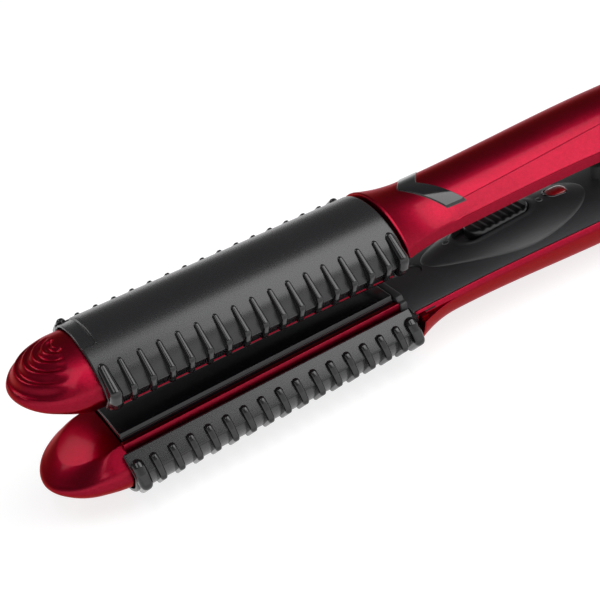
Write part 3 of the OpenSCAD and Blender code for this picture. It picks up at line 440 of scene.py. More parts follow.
def tip_skin(ripples, height, count):
    """Dome on an upright axis with a straight back. Its profile runs from the axis over crown and side,
    round the nose and back under; below, the soft maximum of the sloping underside, the land and the
    beak's barrel-shaped face closes it. The plain tip's crown is squashed a little towards its front, and
    the other's ripples are cosine waves of the distance from the axis, which fade out at the sides."""
    nose_end = side_end(INNER + NOSE_F)
    crown = arc((0, -CROWN_DROP), CROWN_R - INNER, 90, SIDE_DEG, 150)
    side = arc((SIDE_Y, SIDE_Z), SIDE_R - INNER, SIDE_DEG, nose_end, 30)
    top = join(crown, side[1:])
    nose = arc(side_corner(INNER + NOSE_F), NOSE_F, nose_end, -45, 26)[1:]
    rho_in = np.linspace(nose[-1, 0], 0, 71)[1:]
    n_top, n_back = len(top), 13
    theta = sweep(90, 270, 121)
    cos = join(np.zeros(n_back), np.cos(theta), np.zeros(n_back))[:, None]
    sin = join(np.ones(n_back), np.sin(theta), -np.ones(n_back))[:, None]
    back = np.linspace(TIP_BACK - 0.05, -DOME_X, n_back + 1)[:-1]
    rho = join(top[:, 0], nose[:, 0], rho_in)
    x = join(back, np.full(121, -DOME_X), back[::-1])[:, None] + cos * rho
    y = sin * rho
    low = np.maximum(nose[-1, 1] - (nose[-1, 0] - rho_in), LAND_Z)
    z = np.broadcast_to(join(top[:, 1], nose[:, 1], low), x.shape).copy()
    if ripples:
        # The waves begin beyond the middle, end past the last one and fade out towards the sides
        last = RING_R + (count - 1) * RING_PITCH
        wave = (1 + np.cos(2 * np.pi * (top[:, 0] - RING_R) / RING_PITCH)) / 2
        wave *= smooth((last + 1.4 - top[:, 0]) / 0.5) * smooth((top[:, 0] - 1.9) / 0.9)
        z[:, :n_top] -= height * wave * smooth((-cos - 0.18) / 0.5)
    else:
        z -= np.maximum(z - SQUASH_Z, 0) * TIP_SQUASH * smooth((TIP_BACK - x) / 9)
    bx, bz = np.array([-RIDGE_X, LAND_Z]) + polar(BEAK_R, 90 - BEAK_DEG)
    span = BEAK_SIDE_R - BEAK_R + leg(BEAK_R, x - bx, 1)
    beak = np.where(x < bx, bz + BEAK_SIDE_R - BEAK_R - leg(span, y, 1), -50)
    # Width over which the face and the underside blend: crisp at the land, soft towards the front
    k = 0.3 + 4.2 * smooth((-x - 1) / 11)
    h = np.clip((beak - z) / k, -1, 1)
    soft = np.where(h >= 1, beak, np.where(h <= -1, z, (z + beak) / 2 + k * (1 + h * h) / 4))
    z[:, n_top:] = soft[:, n_top:]
    nu, nv = x.shape
    faces = skin(nu, nv, wrap_v=False).tolist()
    faces.append(list(range(nv)) + list(range((nu - 1) * nv, nu * nv))[::-1])
    return points(x, y, z).reshape(-1, 3), faces


# ---------------------------------------------------------------- frames and plates

def segment(radius, low):
    """Segment of a disc above the height low, as the points of its arc."""
    a = math.degrees(math.asin(low / radius))
    return arc((0, 0), radius, a, 180 - a, 60)


def barrel_core(arm):
    """Body under a cover: the barrel's outline, open below to the plate's pocket, and a round neck that
    runs into the handle."""
    foot, top = RAIL_Y - 0.85, 11
    corners = join(both(half_section(INNER, LIP_Z + INNER, 30)),
                   [[foot, LIP_Z + INNER], [foot, top], [-foot, top], [-foot, LIP_Z + INNER]])
    neck = segment(NECK_R, NECK_Z[arm])
    return [solid(bar(corners, 0, TIP_BACK, POCKET_END + 0.1, 0.4)),
            solid(bar(neck, 0, POCKET_END - 1.5, NECK_END, 0.3))]


def stop_bar(arm):
    """Cross bar behind a plate: a rounded outline with a low step at each side, carried along x."""
    half = np.array([(11.0, 0.7), (11.4, 2.1), (12.9, 2.1), (12.9, STOP_Z[arm])])
    corners = np.roll(join(half, half[::-1] * [-1, 1]), 3, 0)
    return solid(bar(corners, [0.5, 0.3, 0.5, 0.5, 0.3, 0.5, 0, 0], POCKET_END + 0.05, STOP_END, 0.4))


def rail(side):
    """Rail beside a plate: an L-shaped outline with rounded edges, carried along x."""
    corners = np.array([(POCKET_Y, LAND_Z), (RAIL_Y, LAND_Z), (RAIL_Y, 6.2), (RAIL_Y - 0.8, 6.2),
                        (RAIL_Y - 0.8, 4.0), (POCKET_Y, 4.0)]) * [side, 1]
    return solid(bar(corners, [0.15, 0.3, 0, 0, 0, 0], TIP_BACK, POCKET_END, 0.2))


def plate():
    """Heating plate: a flat face, rounded long edges and a small shoulder, carried along x."""
    half = np.array([(9.85, 0.15), (9.95, 1.25), (10.2, 1.4), (10.2, 3.15)])
    corners = join(half, half[::-1] * [-1, 1])
    return solid(bar(corners, [0.3, 0.1, 0.1, 0, 0, 0.1, 0.1, 0.3], PLATE_X, PLATE_END, 0.35))


def handle_r(x, waist, slit=0.0):
    """Outer radius of a handle at x: a flared collar less its share slit, a waist that swells into the
    belly, a taper to the hinge and a rounded tail."""
    flare = (COLLAR_R - waist) * np.clip(1 - (x - HANDLE_X) / FLARE, 0, 1) ** 2 * (1 - slit)
    swell = (BELLY_R - waist) * smooth((x - HANDLE_X - FLARE) / (BELLY_X - HANDLE_X - FLARE))
    taper = (BELLY_R - HINGE_R) * smooth((x - BELLY_X - BELLY_LEN) / (HINGE_X - BELLY_X - BELLY_LEN))
    tail = np.clip((x - HINGE_X) / (TAIL_LEN + 4), 0, 1)
    return waist + flare + swell - taper - (HINGE_R - TAIL_R) * (1 - leg(1, tail))


def rim_z(x, arm):
    """Height of a handle's rim: level above the strip that lies on the lower handle's rim, and for the
    upper handle rising a little towards the belly."""
    upper = RIM["upper"] + RIM_RISE * smooth((x - RISE_X) / RISE_LEN)
    return {"lower": SEAM_Z + 0 * x, "upper": upper}[arm]


def crease_at(x):
    """Angle of the upper handle's crease about its axis: level at the chevron, then slowly rising."""
    return np.radians(CREASE_DEG + TURN_DEG * np.clip((x - TURN_X) / TURN_LEN, 0, 1.3))


def inner_r(x, arm, slit):
    """Radius that strips and panels are measured from: the handle's, without its flare on the lower arm
    and with the share slit of it left out on the upper arm."""
    return handle_r(x, WAIST[arm], {"lower": 1.0, "upper": slit}[arm])


def strip(arm, side, slit):
    """Side strip of a frame: a rounded bar drawn by depth below the handle's surface and height, carried
    along the handle; at each station y is the root of radius squared less height squared."""
    x, inset = ends(STRIP_X, STRIP_END, 0.5, np.linspace(HANDLE_X + 1, STRIP_END - 1, 60))
    loops = np.stack([outline(STRIP[arm], STRIP_ROUND[arm], e) for e in inset])
    z = loops[..., 1] + (rim_z(x, arm) - rim_z(HANDLE_X, arm))[:, None]
    y = side * leg(inner_r(x, arm, slit)[:, None] - loops[..., 0], z)
    return solid(points(x[:, None], y, z))


# ---------------------------------------------------------------- handles

def handle_shell(arm, groove):
    """Hollow wall of a handle. Half of its loop runs from the top down the outside, over the rim's
    rounding, or its chamfer on the upper handle, and back up the inside; a point's angle is that of the
    rim at its depth, plus its share s of the way to the crease, at 1, and to the top, at 2. The upper
    handle has a long flat below its crease, radius = distance of the flat / cosine of the angle from its
    middle, and its rear end follows the heel's circle about the pin."""
    waist = WAIST[arm]
    a = sweep(0, 90, 6)
    edge = {"lower": points(RIM_ROUND - RIM_ROUND * np.cos(a), RIM_ROUND - RIM_ROUND * np.sin(a)),
            "upper": np.array(CHAMFER)}[arm]
    foot = join(edge[1:], points(WALL - 0.5 + 0.5 * np.sin(a), 0.5 - 0.5 * np.cos(a)))
    s_out = join(np.linspace(2, 1.05, 30), [1.016, 1.0, 0.984], np.linspace(0.95, 0, 16))
    s_in = np.linspace(0, 2, 24)
    s = join(s_out, np.zeros(len(foot)), s_in)
    depth = join(np.zeros(len(s_out)), foot[:, 0], np.full(len(s_in), WALL))
    height = join(np.full(len(s_out), edge[0, 1]), foot[:, 1], np.full(len(s_in), 0.5))
    outside = np.arange(len(s)) < len(s_out)
    # Stations x with a rounded front edge, then n more that lean by the share heel to the heel's circle
    n = 26
    x, e = ends(HANDLE_X, SHELL_END, 0.75, np.linspace(HANDLE_X + 1, SHELL_END - 1, 90))
    heel = join(np.zeros(len(x) - 4), np.linspace(0, 1, n))[:, None]
    x = join(x[:-4], np.full(n, SHELL_END))[:, None]
    e = join(np.minimum(e[:-4] * 0.6, 0.46), np.zeros(n))[:, None]
    q = e + depth * (1 - 2 * e / WALL)
    end = np.full(q.shape, HINGE_X + leg(HEEL_R + HEEL_GAP, RIM["lower"]))
    for _ in range(4):
        at = x + heel * (end - SHELL_END)
        far = handle_r(at, waist)
        r = far - q
        base = np.arcsin((rim_z(at, arm) + height + e) / r)
        crease = crease_at(at)
        phi = base + (crease - base) * np.minimum(s, 1) + (math.pi / 2 - crease) * np.maximum(s - 1, 0)
        if arm == "upper":
            k = smooth((at - FLAT_X) / FLAT_IN) * (1 - smooth((at - FLAT_END) / FLAT_OUT))
            mid = crease - np.arccos(1 - CREASE_D / far)
            flat = np.minimum(far, (far - CREASE_D) / np.cos(phi - mid)) - far
            r = r + np.where(outside & (s < 1), flat * k, 0) - np.where(outside & (s == 1), groove * k, 0)
            end = HINGE_X + leg(HEEL_R, np.minimum(r * np.sin(phi), HEEL_R - 0.05))
    y, z = r * np.cos(phi), r * np.sin(phi)
    y[:, [0, -1]] = 0
    if arm == "lower":
        z = np.minimum(z, LIFT - 0.02)
    half = points(at, y, z)
    return solid(join(half, (half * [1, -1, 1])[:, -2:0:-1], axis=1))


def bulkhead(arm):
    """Front wall of a handle, inside its collar: a segment of a disc."""
    return solid(bar(segment(DISC_R, RIM[arm] + 0.5), 0, HANDLE_X + 0.3, HANDLE_X + FRONT_WALL, 0.1))


def post(arm, x):
    """Tube from the inner panel to the handle's wall round a screw."""
    z0 = PANEL_Z[arm] + PANEL_T + 0.1
    z1 = float(handle_r(np.float64(x), WAIST[arm])) - WALL / 2 - 0.4
    return turned(np.array([1.3, POST_R, POST_R, 1.3]), [z0, z0, z1, z1], "z", 32, x)


def tail_cap():
    """Full round end of the tail, turned about x: outside, rear face with the swivel's seat, the cord's
    passage, and a front face that keeps clear of the heel, x = pin + root of (radius squared less height
    squared)."""
    n, edge, bore = 144, 0.8, CORD_R + 0.4
    a = around(n)[:, None]
    end = np.full((n, 1), HINGE_X + HEEL_R)

    def front(z):
        return HINGE_X + leg(HEEL_R + HEEL_GAP, np.clip(z, -HEEL_R, RIM["lower"]))
    for _ in range(5):
        end = front(handle_r(end, WAIST["lower"]) * np.sin(a))
    tail = HINGE_X + TAIL_LEN
    x_out = end + (tail - edge - end) * np.linspace(0, 1, 16)
    r_out = handle_r(x_out, WAIST["lower"])
    b = sweep(15, 90, 6)
    r_edge = r_out[:, -1:] - edge + edge * np.cos(b) - 0.35 * np.sin(b)
    x_edge = tail - edge + edge * np.sin(b) + 0 * a
    r_rear = np.array([SWIVEL_R + 0.25, SWIVEL_R + 0.06, SWIVEL_R + 0.06, bore, bore]) + 0 * a
    x_rear = np.array([tail, tail - 0.2, tail - SWIVEL_SEAT, tail - SWIVEL_SEAT, 0]) + 0 * a
    x_rear[:, -1:] = front(bore * np.sin(a))
    r_front = bore + (r_out[:, :1] - CORD_R - 0.4) * np.linspace(0, 1, 10)[1:-1]
    r = join(r_out, r_edge, r_rear, r_front, axis=1)
    return turned(r, join(x_out, x_edge, x_rear, front(r_front * np.sin(a)), axis=1), "x", n)


def cheek(side):
    """Lug that holds the pin: rings from the pin out to a rounded tongue; the outer face follows the
    handle's surface, y = root of (radius squared less height squared), with a seat for the cap."""
    top = 12
    tongue = outline([(-CHEEK_R, -CHEEK_R), (CHEEK_R, -CHEEK_R), (CHEEK_R, top), (-CHEEK_R, top)],
                     [CHEEK_R - 0.01, CHEEK_R - 0.01, 0, 0], 0, 25)
    angle = np.arctan2(tongue[:, 1], tongue[:, 0])
    circle = points(np.cos(angle), np.sin(angle))
    seat = circle * (CAP_R + 0.1)
    rings = [circle * PIN_R, seat, seat] + [seat + (tongue - seat) * w for w in (0.35, 0.7, 0.94)]
    y = [np.full(len(angle), CAP_SEAT)] * 2
    for ring in rings[2:] + [tongue]:
        y.append(leg(handle_r(HINGE_X + ring[:, 0], WAIST["lower"]), ring[:, 1]) - 0.03)
    y[-1] = y[-1] - 0.35
    rings += [tongue, tongue, circle * PIN_R]
    y += [np.full(len(angle), KNUCKLE_Y + 0.4)] * 2
    return solid(np.stack([points(HINGE_X + p[:, 0], side * h, p[:, 1]) for p, h in zip(rings, y)]), True)


def knuckle():
    """Eye of the upper arm with its neck: a profile across y turned about the pin, whose outer distance
    is a circle below and a straight neck above."""
    n, inner, slot, slot_r, top = 96, 2.56, 4.4, 5.4, 14.2
    a = around(n)[:, None]
    neck = np.minimum(KNUCKLE_R / np.maximum(np.abs(np.cos(a)), 1e-6), top / np.maximum(np.sin(a), 1e-6))
    outer = np.where(np.sin(a) > 0, neck, KNUCKLE_R)
    d = join(*[far + 0 * a for far in (inner, outer, outer, inner, inner, slot_r, slot_r, inner)], axis=1)
    y = [-KNUCKLE_Y, -KNUCKLE_Y, KNUCKLE_Y, KNUCKLE_Y, slot, slot, -slot, -slot]
    return turned(d, y, "y", n)


def pin_cap(side):
    """Cap over the pin's end: a disc with a rounded rim and a shallow dish, turned about the pin."""
    r = np.array([0.02, 2.6, 3.1, 3.5, 4.3, 4.8, 5.0, CAP_R, CAP_R, 0.02])
    y = side * np.array([0.0, 0.0, 0.05, 0.3, 0.32, 0.26, 0.16, 0, -1.1, -1.1])
    return turned(r, y + side * (CAP_Y - 0.32), "y", 64)


def swivel():
    """Cord swivel: a collar with three rings, a rounded mouth and a bore, turned about x."""
    x0, x1 = HINGE_X + TAIL_LEN - SWIVEL_SEAT + 0.1, HINGE_X + TAIL_LEN + SWIVEL_OUT
    x = join([x0], np.linspace(x0 + 6.0, x1 - 0.4, 16), [x1 - 0.15, x1, x1, x1 - 0.5, x1 - 1.5, x0])
    r = join([SWIVEL_R], SWIVEL_R - 0.22 + 0.2 * np.cos(np.linspace(0, 4 * np.pi, 16)),
             [SWIVEL_R - 0.3, SWIVEL_R - 0.7, CORD_R + 0.7, CORD_R + 0.15, CORD_R, CORD_R])
    return turned(r, x, "x", 96)


def chevron(grow, top):
    """Band across the upper handle, swept back at both ends: rounded outlines drawn along x and height
    above the handle, carried across y; the handle's surface carries them."""
    half = CHEVRON_Y + grow
    y, inset = ends(-half, half, 0.5, np.linspace(-half + 0.8, half - 0.8, 71))
    round_r, low = CHEVRON_ROUND + grow / 2, -0.7
    box = [(-grow, low), (CHEVRON_LEN + grow, low), (CHEVRON_LEN + grow, top), (-grow, top)]
    loops = np.stack([outline(box, [0, 0, round_r, round_r], e) for e in inset])
    y = y[:, None]
    x = CHEVRON_X + np.hypot(y, 0.5) * CHEVRON_SWEEP / CHEVRON_Y + loops[..., 0]
    far, crease = handle_r(x, WAIST["upper"]), crease_at(x)
    r = far + loops[..., 1]
    phi = np.arcsin(np.clip(leg(r, y) / r, -1, 1))
    flat = np.minimum(0, (far - CREASE_D) / np.cos(phi - crease + FLAT_HALF) - far)
    r = r + np.where(phi < crease, flat, 0) * smooth((x - FLAT_X) / FLAT_IN)
    return solid(points(x, y, leg(r, y)))


# ---------------------------------------------------------------- panels and switch

def crown(y, arm):
    """Height of an inner panel's crowned face."""
    return PANEL_Z[arm] + PANEL_R - leg(PANEL_R, y)


def inner_panel(arm, slit):
    """Crowned panel between a handle's strips: a thin loop across y, as wide as the strips leave at each
    station. Round wells for the screws are pressed in, depth = a steep step of the distance."""
    wells = [np.linspace(x - 3.4, x + 3.4, 58) for x in SCREWS_X]
    x = np.unique(join(np.linspace(PANEL_X, PANEL_END, 70), *wells))[:, None]
    side = join(np.linspace(0, 0.22, 27), np.linspace(0.25, 0.985, 16), [0.992, 0.997, 1.0])
    t = join(-side[::-1], side[1:])
    y = leg(inner_r(x, arm, slit) - PANEL_IN[arm], crown(np.full_like(x, 12.5), arm)) * t
    z = crown(y, arm) + 0.35 * (1 - leg(1, np.clip((np.abs(t) - 0.97) / 0.03, 0, 1)))
    for sx in SCREWS_X:
        z = z + WELL_D * smooth((SCREW_HEAD_R + 0.42 - np.hypot(x - sx, y)) / 0.3)
    back = (crown(y, arm) + PANEL_T)[:, ::-1]
    return solid(points(x, join(y, y[:, ::-1], axis=1), join(z, back, axis=1)))


def pod_y(x):
    """Half width of the switch pod's egg-shaped outline before it closes: narrower towards its front."""
    return POD_Y * (1 - POD_SLIM * smooth((SLIM_X - x) / SLIM_LEN))


def pod_half(x):
    """Half length of the pod: a little more behind its middle than in front of it."""
    return POD_HALF * np.where(x > POD_X, POD_REAR, 1.0)


def pod_z(x, y):
    """Height of the switch pod: the panel's crown less a parabolic dome over an egg, with a low step at
    its rim."""
    rho = np.hypot((x - POD_X) / pod_half(x), y / pod_y(x))
    step = POD_STEP * leg(1, np.clip((rho - 0.965) / 0.035, 0, 1))
    return crown(y, "lower") - (POD_H - POD_STEP) * np.clip(1 - rho ** 2, 0, 1) - step


def lifted(plan, z):
    """Points of a plan in x and y at the height z."""
    return points(plan[..., 0], plan[..., 1], z)


def switch_pod():
    """Oval dome with the knob's recess: rings from the rim's foot over the dome, blended in plan from the
    rim's oval to the recess's, then a raised lip, the recess's wall and its floor."""
    n = 144
    a = around(n) + np.pi / n
    rim_x = POD_X + pod_half(POD_X + np.cos(a)) * np.cos(a)
    rim = points(rim_x, pod_y(rim_x) * np.sin(a))
    middle = np.array([RECESS_X, 0])
    hole = oval(RECESS_HALF, RECESS_Y, n) + middle
    inner = oval(RECESS_HALF - 0.25, RECESS_Y - 0.25, n) + middle
    w = join([0, 0.004, 0.01, 0.02, 0.035, 0.05], np.linspace(0.09, 0.9, 26), [0.94, 0.97, 1])[:, None]
    plan = rim + (hole - rim) * w[..., None]
    z = pod_z(plan[..., 0], plan[..., 1]) - 0.3 * smooth((w - 0.86) / 0.12)
    bottom = PANEL_Z["lower"] - RECESS_FLOOR
    below = [lifted((hole + inner) / 2, z[-1] + 0.02), lifted(inner, z[-1] + 0.25), lifted(inner, bottom),
             lifted(middle + (inner - middle) * 0.3, bottom)]
    return solid(join(lifted(rim, PANEL_Z["lower"] + 4.2)[None], lifted(plan, z), below))


def knob(rib):
    """Switch knob: boxy arches carried along x, as wide as an oval at each station, with cosine ribs on
    their tops, and a stem below."""
    x, _ = ends(KNOB_X - KNOB_HALF, KNOB_X + KNOB_HALF, 0.4,
                np.linspace(-1, 1, 150) * (KNOB_HALF - 0.5) + KNOB_X, 7)
    off = np.maximum(np.abs(x - KNOB_X) - (KNOB_HALF - KNOB_Y), 0) / KNOB_Y
    wide = KNOB_Y * leg(1, off, 0.0004)
    # Ribs as waves between plain ends, and a top that dips towards both ends
    pitch = (2 * KNOB_HALF - 4.2) / (KNOB_RIBS - 1)
    wave = (0.5 + 0.5 * np.cos(2 * np.pi * (x - KNOB_X - pitch / 2) / pitch)) ** 0.8
    inside = smooth((KNOB_HALF - 1.4 - np.abs(x - KNOB_X)) / 0.7)
    top = -KNOB_TOP + rib * (1 - wave) * inside + 0.5 * smooth(off) ** 2
    low = PANEL_Z["lower"] - RECESS_FLOOR - 0.3
    a = sweep(0, 180, 33)
    y = wide[:, None] * np.sign(np.cos(a)) * np.abs(np.cos(a)) ** KNOB_BOX
    z = low + (top - low)[:, None] * np.abs(np.sin(a)) ** KNOB_BOX
    stem = bar([(-2, 0), (2, 0), (2, 6.4), (-2, 6.4)], 0, KNOB_X - 3, KNOB_X + 3, 0.2)
    return [solid(points(x[:, None], y, z)), solid(stem)]


def bead(half, r, thick, rise, x, y=0.0):
    """Ring that lies on the pod: a round section carried along an oval, its height that of the dome."""
    path = oval(half, r, 64)
    b = around(12)[:, None]
    angle = np.arctan2(path[:, 1], path[:, 0])
    plan = path + points(np.cos(angle), np.sin(angle)) * thick * np.cos(b)[..., None] + [x, y]
    return solid(lifted(plan, pod_z(plan[..., 0], plan[..., 1]) - rise - thick * np.sin(b)), True)


def lens():
    """Oval lens: rings drawn in towards its middle, height = dome of the pod less an elliptic crown."""
    edge = oval(LENS_HALF, LENS_Y, 64)
    w = np.sin(sweep(90, 3, 14))[:, None]
    z = pod_z(np.float64(LENS_X), np.float64(0)) + 0.25 - LENS_H * leg(1, w)
    foot = lifted(edge + [LENS_X, 0], PANEL_Z["lower"] - 0.1)
    return solid(join(foot[None], lifted(edge * w[..., None] + [LENS_X, 0], z)))


def bumper():
    """Rubber stop on the lower panel: an oval button with a rounded edge, rings drawn in to its top."""
    w = np.array([1, 1, 0.985, 0.94, 0.86, 0.7, 0.4, 0.1])[:, None]
    z = np.array([PANEL_Z["lower"] + 0.2, -0.8, -1.1, -1.32, -1.44, -1.48, -1.5, -1.5])[:, None]
    return solid(lifted(oval(BUMPER_HALF, BUMPER_R, 64) * w[..., None] + [BUMPER_X, 0], z))


def stud():
    """Stud of the upper panel that meets the bumper: a disc-topped post turned about z."""
    r = np.array([0.02, 2.3, 2.75, 3.0, 3.0])[:, None]
    z = np.array([1.8, 1.8, 1.95, 2.3, PANEL_Z["upper"] + 0.9])[:, None]
    a = around(48)
    return solid(points(BUMPER_X + r * np.cos(a), r * np.sin(a), z))


# ---------------------------------------------------------------- finishes

class Tree:
    """A node tree with short calls: add a node with its settings, and feed its inputs by name or number
    with values or with other nodes' outputs."""

    def __init__(self, tree):
        self.tree = tree
        tree.nodes.clear()

    def feed(self, node, inputs):
        for key, value in inputs.items():
            if isinstance(value, bpy.types.NodeSocket):
                self.tree.links.new(value, node.inputs[key])
            else:
                node.inputs[key].default_value = value

    def add(self, kind, inputs=None, **settings):
        node = self.tree.nodes.new("ShaderNode" + kind)
        for key, value in settings.items():
            setattr(node, key, value)
        self.feed(node, inputs or {})
        return node

    def blend(self, factor, a, b):
        """Colour between a and b by a factor."""
        mix = self.add("Mix", {"Factor": factor, "A": (*a, 1), "B": (*b, 1)}, data_type="RGBA")
        return mix.outputs["Result"]


def lighter(colour, share):
    """A colour raised by a share of itself, at most to white."""
    return [min(1, v * (1 + share)) for v in colour]


def shader_group(name, inputs, outputs, build):
    """A shader node group with named float inputs and outputs, filled by build(tree, inputs)."""
    if name in bpy.data.node_groups:
        return bpy.data.node_groups[name]
    group = bpy.data.node_groups.new(name, "ShaderNodeTree")
    for key, value in inputs.items():
        socket = group.interface.new_socket(name=key, in_out="INPUT", socket_type="NodeSocketFloat")
        socket.default_value = value
    for key, kind in outputs.items():
        group.interface.new_socket(name=key, in_out="OUTPUT", socket_type="NodeSocket" + kind)
    t = Tree(group)
    made = build(t, group.nodes.new("NodeGroupInput").outputs)
    t.feed(group.nodes.new("NodeGroupOutput"), made)
    return group


def flake_group():
    """Metal flakes: cells of their own brightness, each leaning its own way."""
    def build(t, given):
        place = t.add("TexCoord").outputs["Object"]
        cells = t.add("TexVoronoi", {"Vector": place, "Scale": given["Scale"]})
        soft = t.add("TexNoise", {"Vector": place, "Scale": 900.0, "Detail": 3.0})
        grey = t.add("RGBToBW", {"Color": cells.outputs["Color"]})
        total = t.add("Math", {0: grey.outputs[0], 1: soft.outputs["Fac"]}, operation="ADD")
        mask = t.add("MapRange", {"Value": total.outputs[0], "From Min": 0.6, "From Max": 1.4})
        bump = t.add("Bump", {"Strength": given["Lean"], "Distance": 0.00002, "Height": grey.outputs[0]})
        return {"Mask": mask.outputs[0], "Normal": bump.outputs[0]}
    return shader_group("Metal flakes", {"Scale": 6000.0, "Lean": 0.1},
                        {"Mask": "Float", "Normal": "Vector"}, build)


def grain_group():
    """Grain of a mould or of brushing: fine noise as roughness and height, stretched along x if asked."""
    def build(t, given):
        place = t.add("TexCoord").outputs["Object"]
        stretch = t.add("CombineXYZ", {"X": given["Along"], "Y": 1.0, "Z": 1.0})
        scaled = t.add("VectorMath", {0: place, 1: stretch.outputs[0]}, operation="MULTIPLY")
        fine = t.add("TexNoise", {"Vector": scaled.outputs[0], "Scale": given["Scale"], "Detail": 3.0})
        low, high = [t.add("Math", {0: given["Roughness"], 1: given["Spread"]}, operation=way)
                     for way in ("SUBTRACT", "ADD")]
        rough = t.add("MapRange", {"Value": fine.outputs["Fac"], "From Min": 0.3, "From Max": 0.7,
                                   "To Min": low.outputs[0], "To Max": high.outputs[0]})
        bump = t.add("Bump", {"Strength": given["Relief"], "Distance": 0.00004,
                              "Height": fine.outputs["Fac"]})
        return {"Roughness": rough.outputs[0], "Normal": bump.outputs[0]}
    given = {"Scale": 3000.0, "Along": 1.0, "Roughness": 0.4, "Spread": 0.05, "Relief": 0.2}
    return shader_group("Surface grain", given, {"Roughness": "Float", "Normal": "Vector"}, build)


def handling_group():
    """Handling marks: broad soft patches, a little duller where hands and cloths have been."""
    def build(t, given):
        place = t.add("TexCoord").outputs["Object"]
        wide = t.add("TexNoise", {"Vector": place, "Scale": 70.0, "Detail": 5.0, "Roughness": 0.6})
        mask = t.add("MapRange", {"Value": wide.outputs["Fac"], "From Min": 0.35, "From Max": 0.7,
                                  "To Max": given["Amount"]})
        return {"Mask": mask.outputs[0]}
    return shader_group("Handling", {"Amount": 1.0}, {"Mask": "Float"}, build)


def material(name):
    """An empty node material with its output and a Principled shader."""
    if name in bpy.data.materials:
        bpy.data.materials.remove(bpy.data.materials[name])
    made = bpy.data.materials.new(name)
    made.use_nodes = True
    t = Tree(made.node_tree)
    shader = t.add("BsdfPrincipled")
    output = t.add("OutputMaterial", {"Surface": shader.outputs[0]})
    return made, t, shader, output


def grained(name, colour, roughness, spread, relief, scale=3000.0, stretch=1.0, lift=0.25, metallic=0.0,
            coat=0.0):
    """A finish whose grain moves its gloss and its height, and whose colour handling lifts a little."""
    _, t, shader, _ = material(name)
    grain = t.add("Group", {"Scale": scale, "Along": stretch, "Roughness": roughness, "Spread": spread,
                            "Relief": relief}, node_tree=grain_group())
    marks = t.add("Group", {"Amount": 1.0}, node_tree=handling_group())
    t.feed(shader, {"Base Color": t.blend(marks.outputs[0], colour, lighter(colour, lift)),
                    "Roughness": grain.outputs["Roughness"], "Normal": grain.outputs["Normal"],
                    "Metallic": metallic, "Coat Weight": coat, "Coat Roughness": 0.05})


def lacquered(name, colour, deep):
    """Red lacquer: metal flakes of two tones under a clear coat, duller where it has been handled."""
    _, t, shader, _ = material(name)
    flakes = t.add("Group", {"Scale": 7000.0, "Lean": 0.25}, node_tree=flake_group())
    marks = t.add("Group", {"Amount": 1.0}, node_tree=handling_group())
    rough = t.add("MapRange", {"Value": marks.outputs[0], "To Min": 0.33, "To Max": 0.37})
    t.feed(shader, {"Base Color": t.blend(flakes.outputs["Mask"], deep, colour),
                    "Roughness": rough.outputs[0], "Normal": flakes.outputs["Normal"], "Metallic": 1.0,
                    "Specular Tint": (0.85, 0.10, 0.20, 1), "Coat Weight": 0.12, "Coat Roughness": 0.12})


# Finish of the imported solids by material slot, and the slots of the finishes that only new pieces have
FINISH = {"red_shell": "Red lacquer", "black_cover": "Cover plastic", "black_gloss": "Gloss black",
          "black_panel": "Panel plastic", "ceramic_plate": "Ceramic coat", "steel": "Brushed steel",
          "chrome_trim": "Dark chrome", "red_lens": "Lens red", "heater_ceramic": "Heater ceramic",
          "board_green": "Board green", "rubber_black": "Rubber"}
SLOT = {finish: slot for slot, finish in FINISH.items()} | {
    "Fin plastic": "black_cover", "Core plastic": "black_panel", "Knob plastic": "black_gloss",
    "Mark grey": "black_panel"}


class CRIMPER_OT_finishes(bpy.types.Operator):
    """Makes the lacquer, plastics and metals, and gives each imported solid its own"""
    bl_idname = "crimper.finishes"
    bl_label = "Finishes"

    def execute(self, context):
        c = context.scene.crimper_colours
        lacquered("Red lacquer", c.lacquer, c.lacquer_deep)
        grained("Cover plastic", c.cover, 0.27, 0.02, 0.03)
        # The fins are moulded in one piece with the cover wall; their colour, 0.6 times the cover's, is
        # painted shade, and their lower roughness makes their gloss crisper
        grained("Fin plastic", [v * 0.6 for v in c.cover], 0.15, 0.02, 0.01)
        grained("Panel plastic", c.panel, 0.46, 0.04, 0.22)
        grained("Core plastic", [v * 0.7 for v in c.panel], 0.5, 0.04, 0.2)
        grained("Gloss black", c.gloss, 0.10, 0.02, 0.01)
        grained("Knob plastic", c.gloss, 0.32, 0.03, 0.06)
        grained("Ceramic coat", c.plate, 0.17, 0.03, 0.04, stretch=0.03)
        grained("Brushed steel", c.steel, 0.3, 0.06, 0.12, 4000.0, 0.1, 0.1, 1.0)
        grained("Dark chrome", (0.12, 0.115, 0.12), 0.2, 0.03, 0.01, metallic=1.0)
        grained("Blackened steel", (0.05, 0.05, 0.052), 0.38, 0.06, 0.2, metallic=0.6)
        grained("Lens red", c.lens, 0.08, 0.02, 0.02, 1500.0, 0.0, coat=1.0)
        grained("Mark grey", (0.12, 0.12, 0.122), 0.4, 0.04, 0.1)
        grained("Heater ceramic", (0.72, 0.69, 0.62), 0.62, 0.08, 0.35, 2200.0)
        grained("Board green", (0.02, 0.12, 0.05), 0.35, 0.08, 0.25, 1200.0, 0.25, 0.9)
        grained("Rubber", (0.018, 0.018, 0.018), 0.72, 0.06, 0.4, 2500.0)
        for part in frame["record"]["subparts"]:
            finish = "Blackened steel" if "screws" in part["node"] else FINISH[part["material_slot"]]
            mesh = frame["nodes"][part["node"]].data
            mesh.materials.clear()
            mesh.materials.append(bpy.data.materials[finish])
        return {"FINISHED"}


# ---------------------------------------------------------------- pieces

